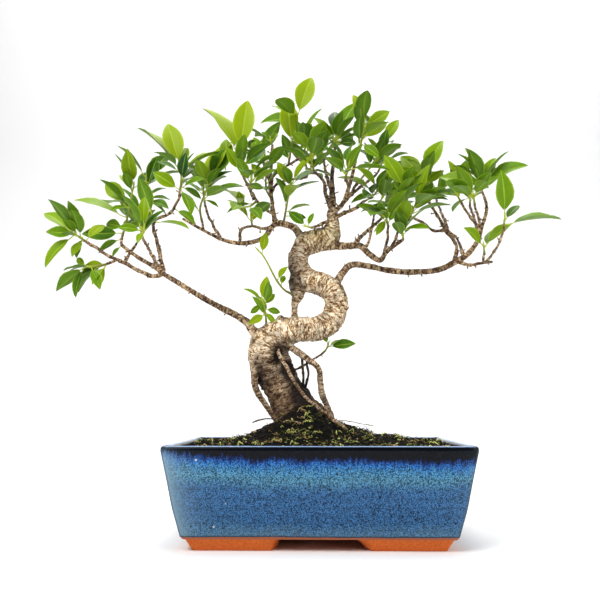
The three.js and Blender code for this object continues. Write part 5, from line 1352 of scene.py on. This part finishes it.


# Stoneware with a running blue glaze: near black where it lies thick under the lip, breaking through bright
# streaks into teal and then blue, crawled into fine dark worms, paler towards its lower edge, paler on its
# corners where it thins and from a painted highlight, with a painted dark reflection down each corner and a
# painted highlight as a thin pale line on the lip; a pinkish stain and bare orange clay lie below it.
def makeGlazeMaterial():
    material, tree = newMaterial("runningBlueGlaze")
    place = addNode(tree, "TexCoord", {}, "Object")
    across = addNode(tree, "SeparateXYZ", {0: place}, "X")
    height = across.node.outputs["Z"]
    edge, turn = (addNode(tree, "Attribute", {"attribute_name": key}, "Fac") for key in ("edge", "turn"))
    sway = addNode(tree, "TexNoise", {"Vector": place, "Scale": 1 / (38 * mm), "Detail": 1.0})
    streakPlace = addNode(tree, "Mapping", {"Vector": place, "Scale": (1, 1, 0.2)})
    streak = addNode(tree, "TexNoise", {"Vector": streakPlace, "Scale": 1 / (3.2 * mm), "Detail": 3.0,
                                        "Roughness": 0.7})
    runs = addNode(tree, "Math", {"operation": "MULTIPLY_ADD", 0: streak, 1: pot["runLength"] * mm,
                                  2: height})
    swayed = addNode(tree, "Math", {"operation": "MULTIPLY_ADD", 0: sway, 1: pot["sway"] * mm, 2: runs})
    # the glaze lies thinner towards the left end, and the two noises add 13 mm on average
    thin = addNode(tree, "MapRange", {"Value": across, "From Min": -135 * mm, "From Max": -30 * mm,
                                      "To Min": -20 * mm, "To Max": -13 * mm})
    level = addNode(tree, "Math", {"operation": "ADD", 0: swayed, 1: thin})
    part = addNode(tree, "MapRange", {"Value": level, "From Max": 100 * mm})
    glaze = addNode(tree, "ValToRGB", {"Fac": part, "stops": pot["glazeStops"]})
    worms = addNode(tree, "TexNoise", {"Vector": place, "Scale": 1 / (pot["wormSize"] * mm), "Detail": 1.0})
    offMiddle = addNode(tree, "Math", {"operation": "SUBTRACT", 0: worms, 1: 0.5})
    ridge = addNode(tree, "Math", {"operation": "ABSOLUTE", 0: offMiddle})
    worm = addNode(tree, "MapRange", {"Value": ridge, "From Min": 0.005, "From Max": 0.11, "To Min": 0.04,
                                      "To Max": 2.0})
    # the glaze thins over the corners and above its lower edge, and the corners carry a painted highlight,
    # stronger on the left where the light comes from
    byEdge = addNode(tree, "MapRange", {"Value": across, "From Min": -60 * mm, "From Max": 60 * mm,
                                        "To Min": 0.7, "To Max": 0.1})
    cornerHighlight = addNode(tree, "Math", {"operation": "MULTIPLY", 0: edge, 1: byEdge})
    low = addNode(tree, "MapRange", {"Value": swayed, "From Min": 40 * mm, "From Max": 27 * mm,
                                     "To Max": 0.2})
    thinGlazeAndHighlight = addNode(tree, "Math", {"operation": "MAXIMUM", 0: cornerHighlight, 1: low})
    belowBlack = addNode(tree, "MapRange", {"Value": part, "From Min": 0.8, "From Max": 0.88, "To Min": 1.0,
                                            "To Max": 0.15})
    pale = addNode(tree, "Math", {"operation": "MULTIPLY", 0: thinGlazeAndHighlight, 1: belowBlack})
    # scattered dark pits and pale grains in the glaze
    pits = addNode(tree, "TexVoronoi", {"Vector": place, "Scale": 1 / (15 * mm)})
    pit = addNode(tree, "MapRange", {"Value": pits, "From Min": 0.05, "From Max": 0.1, "To Min": 0.1})
    grains = addNode(tree, "TexVoronoi", {"Vector": place, "Scale": 1 / (21 * mm)})
    grain = addNode(tree, "MapRange", {"Value": grains, "From Min": 0.04, "From Max": 0.06, "To Min": 0.8,
                                       "To Max": 0.0})
    # painted highlight: a pale line along the top of the lip
    lip = addNode(tree, "MapRange", {"Value": height, "From Min": 98.1 * mm, "From Max": 98.8 * mm})
    edgeHeight = addNode(tree, "Math", {"operation": "MULTIPLY_ADD", 0: sway, 1: 1.6 * mm, 2: height})
    rim = addNode(tree, "MapRange", {"Value": edgeHeight, "From Min": 15.2 * mm, "From Max": 16.6 * mm,
                                     "To Min": 0.25})
    coloured = glaze
    for blend, factor, over in (("MULTIPLY", 1.0, worm), ("MIX", pale, pot["paleGlaze"]),
                                ("MULTIPLY", 1.0, pit), ("MIX", grain, pot["grainColour"]),
                                ("MIX", lip, pot["lipHighlightColour"]), ("MULTIPLY", 1.0, rim),
                                ("MIX", turn, pot["paintedCornerReflection"])):
        coloured = addNode(tree, "Mix", {"data_type": "RGBA", "blend_type": blend, 0: factor, 6: coloured,
                                         7: over}, 2)
    clayNoise = addNode(tree, "TexNoise", {"Vector": place, "Scale": 1 / (2 * mm), "Detail": 4.0})
    clay = addNode(tree, "ValToRGB", {"Fac": clayNoise, "stops": pot["clayStops"]})
    stain = addNode(tree, "MapRange", {"Value": height, "From Min": 10.8 * mm, "From Max": 12.4 * mm,
                                       "To Max": 0.8})
    stained = addNode(tree, "Mix", {"data_type": "RGBA", 0: stain, 6: clay, 7: pot["stainColour"]}, 2)
    glazed = addNode(tree, "MapRange", {"Value": edgeHeight, "From Min": pot["glazeEdge"][0] * mm,
                                        "From Max": pot["glazeEdge"][1] * mm})
    colour = addNode(tree, "Mix", {"data_type": "RGBA", 0: glazed, 6: stained, 7: coloured}, 2)
    rough = addNode(tree, "MapRange", {"Value": glazed, "To Min": 0.85, "To Max": 0.18})
    # the painted dark reflection at each corner is made dull, or it would mirror the pale room
    dulled = addNode(tree, "Math", {"operation": "MAXIMUM", 0: rough, 1: turn})
    ripple = addNode(tree, "TexNoise", {"Vector": place, "Scale": 1 / (7 * mm)})
    bump = addNode(tree, "Bump", {"Height": ripple, "Strength": 0.25, "Distance": 0.4 * mm})
    surface = addNode(tree, "BsdfPrincipled", {"Base Color": colour, "Specular IOR Level": 0.12,
                                               "Roughness": dulled, "Normal": bump})
    addNode(tree, "OutputMaterial", {"Surface": surface})
    return material


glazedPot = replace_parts(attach(makePot(makeGlazeMaterial()), "root"), "pot")
print("pot made", len(glazedPot.data.polygons))


# Drain screen: moulded black polypropylene, matt with a faint pebble.
def makeScreenMaterial():
    material, tree = newMaterial("blackPlasticMesh")
    place = addNode(tree, "TexCoord", {}, "Object")
    pebble = addNode(tree, "TexNoise", {"Vector": place, "Scale": 1 / (0.8 * mm)})
    shade = addNode(tree, "ValToRGB", {"Fac": pebble, "stops": [(0.3, "#141414"), (0.7, "#242424")]})
    bump = addNode(tree, "Bump", {"Height": pebble, "Strength": 0.3, "Distance": 0.1 * mm})
    surface = addNode(tree, "BsdfPrincipled", {"Base Color": shade, "Roughness": 0.6, "Normal": bump})
    addNode(tree, "OutputMaterial", {"Surface": surface})
    return material


screenMaterial = makeScreenMaterial()
for side in ("left", "right"):
    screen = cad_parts[f"drain_screen_{side}"]
    screen.data.materials.clear()
    screen.data.materials.append(screenMaterial)


soil = {
    "cell": 1.25,  # mm
    "low": 20.5,  # height of the filling's underside in mm
    "clearance": 0.35,
    "ground": 92,  # height in mm where the soil is flat
    "moundX": -22,  # mm, where the mound is highest
    "moundRise": 32,
    "moundReach": (57, 86, 58),  # mm, to the left, to the right, and to the front and back
    "bankPlace": (-9, -24),  # of the soil banked against the trunk's front
    "bankRise": 16.5,
    "bankReach": (27, 22),
    # the pot's inside: heights in mm, and how far in from the rim it lies there
    "insideHeights": [20.5, 26, 50, 70, 90.5, 96],
    "insets": [28.9, 24.4, 18, 13, 9, 8],
    "crumbs": 2600,
    "crumbSize": (0.7, 1.5),  # mm, least radius and range
    "strands": 4500,
    "strandRings": 8,
    "strandLength": (4, 12),  # mm
    "strandRadius": (0.38, 0.2),  # mm at the foot, and what it loses towards the end
    "mossCushions": [  # middle, radius and height in mm, and how far towards light green
        (-112, -50, 15, 6, 0.5), (-72, -78, 18, 4, 0.2), (-26, -74, 18, 5, 0.7), (20, -80, 18, 4, 0.35),
        (52, -52, 20, 5, 0.5), (96, -78, 18, 5, 0.4), (112, -36, 20, 6, 0.55), (84, 0, 20, 5, 0.5),
        (124, 14, 16, 6, 0.4), (58, 48, 20, 5, 0.5), (108, 66, 18, 5, 0.3), (10, 80, 20, 5, 0.5),
        (-44, 70, 20, 5, 0.4), (-92, 74, 18, 5, 0.3), (-118, 24, 18, 5, 0.4), (-88, -20, 16, 3, 0.3),
        (-9, -42, 20, 0, 0.45), (-34, -48, 16, 0, 0.6), (22, -44, 18, 0, 0.4), (-2, -60, 20, 0, 0.5),
        (44, -22, 16, 0, 0.4)],  # the last five only cover the bank in front of the trunk
    "litter": [  # a dead twig and two straws on the mound by the trunk: route and the settings of twig
        ([[-71, -12, 119, 0.7], [-62, -13, 122, 0.9], [-53, -13, 123.5, 0.8], [-44, -14, 122, 0.6]], 91, 0.5),
        ([[16, -12, 121, 0.7], [28, -14, 120.5, 0.5], [40, -15, 119, 0.5], [58, -17, 115.5, 0.4]], 93, 0.3),
        ([[-38, -46, 119, 0.7], [-30, -52, 122, 0.6], [-16, -56, 118, 0.5]], 95, 0.0, 3.0)],
    # where two stops share the last place, the second is for what lies past it
    "earthStops": [(0.35, "#030201"), (0.55, "#0d0905"), (0.72, "#2c2115")],
    "feltStops": [(0.3, "#020201"), (0.8, "#060703"), (1.0, "#171a09"), (1.0, "#343c16")],
    "crumbStops": [(0.2, "#040302"), (0.8, "#140d07"), (1.0, "#33251a"), (1.0, "#7a6448")],
    "mossStops": [(0.0, "#090a04"), (0.35, "#1e210c"), (0.6, "#64672a"), (0.95, "#d2d878")],
    "strawStops": [(0.0, "#1e130a"), (0.7, "#b89c66")],
}


# Half sizes of the pot's inside at a height, and the soil's own
# height: a low mound round the trunk, banked against its front.
def insideHalf(z):
    inset = np.interp(z, soil["insideHeights"], soil["insets"])
    return pot["halfWidth"] - inset - soil["clearance"], pot["halfDepth"] - inset - soil["clearance"]


def soilHeight(x, y):
    left, right, deep = soil["moundReach"]
    across = np.abs(x - soil["moundX"]) / np.where(x < soil["moundX"], left, right)
    height = soil["ground"] + soil["moundRise"] * np.exp(-across ** 2.6 - (y / deep) ** 2)
    (bankX, bankY), (wide, thick) = soil["bankPlace"], soil["bankReach"]
    bank = np.exp(-np.abs((x - bankX) / wide) ** 3 - ((y - bankY) / thick) ** 2)
    height = height + soil["bankRise"] * bank
    height = height + 1.2 * np.sin(0.11 * x + 1) * np.cos(0.13 * y + 0.05 * x)
    for middleX, middleY, radius, rise, _ in soil["mossCushions"]:
        height = height + rise * np.exp(-((x - middleX) ** 2 + (y - middleY) ** 2) / radius ** 2)
    return height


# Unevenness of the ground in mm: noise of three sizes.
def roughGround(flat):
    return 1.5 * noise(flat, 13, 50) + 1.1 * noise(flat, 5.5, 51) + 0.7 * noise(flat, 2.6, 52)


# Places on the ground by chance, margin mm inside the clay and more of them towards the front.
def chancePlaces(chance, count, margin):
    halfX, halfY = insideHalf(90.0)
    x = chance.uniform(-halfX + margin, halfX - margin, count)
    return x, halfY - margin - 2 * (halfY - margin) * chance.random(count) ** 0.7


# Cover of moss from 0 to 1, and its lightness, at each place on the soil.
def mossCover(x, y):
    cover, light = np.zeros_like(x), np.full_like(x, 0.3)
    flat = np.stack([x, y, np.zeros_like(x)], -1).reshape(-1, 3)
    ragged = (0.8 * noise(flat, 9, 70) + 0.5 * noise(flat, 4, 71)).reshape(x.shape)
    for middleX, middleY, radius, _, lightness in soil["mossCushions"]:
        reach = 1.15 - np.hypot(x - middleX, y - middleY) / radius + 0.55 * ragged
        here = np.clip(reach * 1.6, 0, 1)
        light = np.where(here > cover, lightness, light)
        cover = np.maximum(cover, here)
    return cover, light


# The filling: a grid of heights over the pot's inside, lumpy
# with crumbs, closed by a wall down the clay and a floor.
def makeSoil(material):
    halfX, halfY = insideHalf(90.0)
    columns, rows = int(2 * halfX / soil["cell"]), int(2 * halfY / soil["cell"])
    u, v = np.meshgrid(np.linspace(-1, 1, columns), np.linspace(-1, 1, rows))
    # corners are pulled in so that the grid keeps inside the pot's rounded corners
    pull = 1 - 0.022 * np.clip(np.abs(u) * 30 - 29, 0, 1) * np.clip(np.abs(v) * 22 - 21, 0, 1)
    x, y = u * halfX * pull, v * halfY * pull
    flat = np.stack([x, y, np.zeros_like(x)], -1).reshape(-1, 3)
    cover, light = mossCover(x, y)
    rough = roughGround(flat).reshape(x.shape)
    rise = cover * (1.6 + 0.8 * noise(flat, 3.2, 53).reshape(x.shape))
    edge = np.minimum(1, 12 * (1 - np.maximum(np.abs(u), np.abs(v))))
    z = soilHeight(x, y) + (rough + rise) * (0.3 + 0.7 * edge) - 0.8
    top = np.stack([x, y, z], -1)
    around = [(slice(0, 1), slice(0, columns)), (slice(0, rows), slice(columns - 1, columns)),
              (slice(rows - 1, rows), slice(columns - 1, None, -1)), (slice(rows - 1, None, -1), slice(0, 1))]
    index = np.arange(rows * columns).reshape(rows, columns)
    ring = np.concatenate([index[rowPart, columnPart].ravel()[:-1] for rowPart, columnPart in around])
    levels = []
    for height in (70, 50, 26, soil["low"]):
        nowX, nowY = insideHalf(height)
        scale = np.array([nowX / halfX, nowY / halfY])
        edgePoints = top.reshape(-1, 3)[ring][:, :2] * scale
        levels.append(np.column_stack([edgePoints, np.full(len(ring), float(height))]))
    count = len(ring)
    points = np.concatenate([top.reshape(-1, 3), *levels, [[0, 0, soil["low"]]]])
    rings = [ring] + [rows * columns + k * count + np.arange(count) for k in range(len(levels))]
    walls = [np.stack([upper, lower, np.roll(lower, -1), np.roll(upper, -1)], -1)
             for upper, lower in zip(rings, rings[1:])]
    floor = np.stack([np.roll(rings[-1], -1), rings[-1], np.full(count, len(points) - 1)], -1)
    below = np.zeros(len(points) - rows * columns)
    return makePiece("soil_mound", {
        "points": points, "triangles": floor,
        "quads": np.concatenate([gridQuads(rows, columns, False), *walls]),
        "values": {"moss": np.append(cover, below), "light": np.append(light, below)}}, material)


# Small angular stones: twelve-cornered lumps, each turned and stretched its own way, half sunk in the soil.
def makeCrumbs(material):
    chance = np.random.default_rng(21)
    count = soil["crumbs"]
    golden = (1 + 5 ** 0.5) / 2
    signs = [(a, b * golden) for a in (-1, 1) for b in (-1, 1)]
    corners = unit(np.array([(a, b, 0) for a, b in signs] + [(0, a, b) for a, b in signs]
                            + [(b, 0, a) for a, b in signs]))
    gaps = np.linalg.norm(corners[:, None] - corners[None], axis=2)
    sides = np.array([t for t in itertools.combinations(range(12), 3)
                      if max(gaps[t[0], t[1]], gaps[t[1], t[2]], gaps[t[0], t[2]]) < 1.1])
    a, b, c = (corners[sides[:, k]] for k in range(3))
    inward = (np.cross(b - a, c - a) * a).sum(1) < 0
    sides[inward] = sides[inward][:, ::-1]
    x, y = chancePlaces(chance, count, 2)
    least, extra = soil["crumbSize"]
    size = least + extra * chance.random(count) ** 2.2
    flat = np.stack([x, y, np.zeros(count)], -1)
    z = soilHeight(x, y) + roughGround(flat) - 0.5
    stretch = chance.uniform(0.6, 1.3, (count, 1, 3)) * size[:, None, None]
    lump = corners[None] * stretch * chance.uniform(0.8, 1.15, (count, 12, 1))
    turn = chance.uniform(0, 2 * np.pi, count)
    cosine, sine = np.cos(turn)[:, None], np.sin(turn)[:, None]
    turned = np.stack([lump[..., 0] * cosine - lump[..., 1] * sine,
                       lump[..., 0] * sine + lump[..., 1] * cosine, lump[..., 2]], -1)
    points = turned + np.stack([x, y, z], -1)[:, None]
    shift = np.arange(count)[:, None, None] * 12
    tone = np.repeat(chance.random(count), 12)
    return makePiece("soil_crumbs", {"points": points.reshape(-1, 3), "quads": noFaces,
                                     "triangles": (sides[None] + shift).reshape(-1, 3),
                                     "values": {"tone": tone}}, material, sharpAngle=20)


# Moss and fine dry roots: bent three-sided hairs. Each starts in the soil and arcs over by a parabola in a
# chance direction, curling to one side and waving as it goes.
def makeStrands(material):
    chance = np.random.default_rng(33)
    tries = soil["strands"] * 3
    x, y = chancePlaces(chance, tries, 5)
    cover, light = mossCover(x, y)
    keep = np.flatnonzero(cover + 0.12 > chance.random(tries))[:soil["strands"]]
    x, y, cover, light = x[keep], y[keep], cover[keep], light[keep]
    count, rings = len(keep), soil["strandRings"]
    z = soilHeight(x, y) + roughGround(np.stack([x, y, np.zeros(count)], -1)) + 1.6 * cover - 1.6
    turn = chance.uniform(0, 2 * np.pi, count)
    out = np.stack([np.cos(turn), np.sin(turn), np.zeros(count)], -1)[:, None]
    sideways = np.stack([-np.sin(turn), np.cos(turn), np.zeros(count)], -1)
    length = chance.uniform(*soil["strandLength"], count) * (0.7 + 0.4 * cover)
    lift = chance.uniform(0.12, 0.6, count)[:, None, None]
    curl = (sideways * chance.uniform(-0.8, 0.8, count)[:, None])[:, None]
    t = np.linspace(0, 1, rings)[None, :, None]
    wiggle = np.sin(11 * t + 6.28 * chance.random((count, 1, 1))) * 0.16
    rise = np.array([0, 0, 1.0])
    over = lift * (1.9 * t - 1.6 * t ** 2) + wiggle * t
    bent = out * 0.75 * t + rise * over + curl * (t ** 2 + wiggle)
    centres = np.stack([x, y, z], -1)[:, None] + length[:, None, None] * bent
    ahead = unit(np.gradient(centres, axis=1))
    side = unit(np.cross(ahead, rise + 0.01 * out))
    other = np.cross(ahead, side)
    thick, loss = soil["strandRadius"]
    width = (thick - loss * t) * (0.7 + 0.7 * chance.random((count, 1, 1)))
    tone = np.clip(0.55 * light - 0.56 + 1.6 * chance.random(count) ** 4.2, 0, 1)
    width = width * (1 + 0.7 * tone[:, None, None])  # bright strands are thicker
    corners = [centres + (side * math.cos(a) + other * math.sin(a)) * width for a in (0, 2.0944, 4.1888)]
    points = np.stack(corners, 2)
    dry = (chance.random(count) > 0.4 + 0.4 * cover) * 1.0
    each = 3 * rings
    shift = np.arange(count)[:, None, None] * each
    ends = np.array([[2, 1, 0], [each - 3, each - 2, each - 1]])
    return makePiece("moss_strands", {
        "points": points.reshape(-1, 3), "quads": (gridQuads(rings, 3)[None] + shift).reshape(-1, 4),
        "triangles": (ends[None] + shift).reshape(-1, 3),
        "values": {"tone": np.repeat(tone, each), "dry": np.repeat(dry, each)}}, material)


# Potting soil: black-brown peat with fine grit, dull and damp, with a felt of green where moss grows.
def makeSoilMaterial():
    material, tree = newMaterial("dampSoil")
    place = addNode(tree, "TexCoord", {}, "Object")
    moss, light = (addNode(tree, "Attribute", {"attribute_name": key}, "Fac") for key in ("moss", "light"))
    grit = addNode(tree, "TexNoise", {"Vector": place, "Scale": 1 / (1.6 * mm), "Detail": 4.0,
                                      "Roughness": 0.75})
    earth = addNode(tree, "ValToRGB", {"Fac": grit, "stops": soil["earthStops"]})
    felt = addNode(tree, "TexNoise", {"Vector": place, "Scale": 1 / (1.1 * mm), "Detail": 3.0})
    shade = addNode(tree, "Math", {"operation": "MULTIPLY_ADD", 0: felt, 1: 1.4, 2: -0.45})
    lit = addNode(tree, "Math", {"operation": "MULTIPLY_ADD", 0: light, 1: 0.4, 2: shade})
    green = addNode(tree, "ValToRGB", {"Fac": lit, "stops": soil["feltStops"]})
    # moss ends in a ragged edge where the grit stands high
    spread = addNode(tree, "Math", {"operation": "MULTIPLY_ADD", 0: grit, 1: 1.2, 2: moss})
    mask = addNode(tree, "MapRange", {"Value": spread, "From Min": 0.85, "From Max": 1.2})
    colour = addNode(tree, "Mix", {"data_type": "RGBA", 0: mask, 6: earth, 7: green}, 2)
    bump = addNode(tree, "Bump", {"Height": grit, "Strength": 1.0, "Distance": 1.2 * mm})
    surface = addNode(tree, "BsdfPrincipled", {"Base Color": colour, "Roughness": 0.9,
                                               "Specular IOR Level": 0.2, "Normal": bump})
    addNode(tree, "OutputMaterial", {"Surface": surface})
    return material


# Grit: crumbs of peat, bark and pumice, from near black to pale tan, dry and dull.
def makeCrumbMaterial():
    material, tree = newMaterial("soilGrit")
    place = addNode(tree, "TexCoord", {}, "Object")
    tone = addNode(tree, "Attribute", {"attribute_name": "tone"}, "Fac")
    speck = addNode(tree, "TexNoise", {"Vector": place, "Scale": 1 / (0.9 * mm)})
    mixed = addNode(tree, "Math", {"operation": "MULTIPLY_ADD", 0: speck, 1: 0.3, 2: tone})
    colour = addNode(tree, "ValToRGB", {"Fac": mixed, "stops": soil["crumbStops"]})
    surface = addNode(tree, "BsdfPrincipled", {"Base Color": colour, "Roughness": 0.85,
                                               "Specular IOR Level": 0.2})
    addNode(tree, "OutputMaterial", {"Surface": surface})
    return material


# Moss hairs: soft and dull, olive to yellow-green, with straw-coloured dry ones among them.
def makeMossMaterial():
    material, tree = newMaterial("curlyMoss")
    tone, dry = (addNode(tree, "Attribute", {"attribute_name": key}, "Fac") for key in ("tone", "dry"))
    green = addNode(tree, "ValToRGB", {"Fac": tone, "stops": soil["mossStops"]})
    straw = addNode(tree, "ValToRGB", {"Fac": tone, "stops": soil["strawStops"]})
    colour = addNode(tree, "Mix", {"data_type": "RGBA", 0: dry, 6: green, 7: straw}, 2)
    surface = addNode(tree, "BsdfPrincipled", {"Base Color": colour, "Roughness": 0.75,
                                               "Specular IOR Level": 0.2})
    addNode(tree, "OutputMaterial", {"Surface": surface})
    return material


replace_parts(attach(makeSoil(makeSoilMaterial()), "root"), "soil")
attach(makeCrumbs(makeCrumbMaterial()), "root")
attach(makeStrands(makeMossMaterial()), "root")
litter = joined([twig(*settings) for settings in soil["litter"]])
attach(makePiece("fallen_twigs", litter, barkMaterial), "root")
print("soil, crumbs and moss made")


print("done")
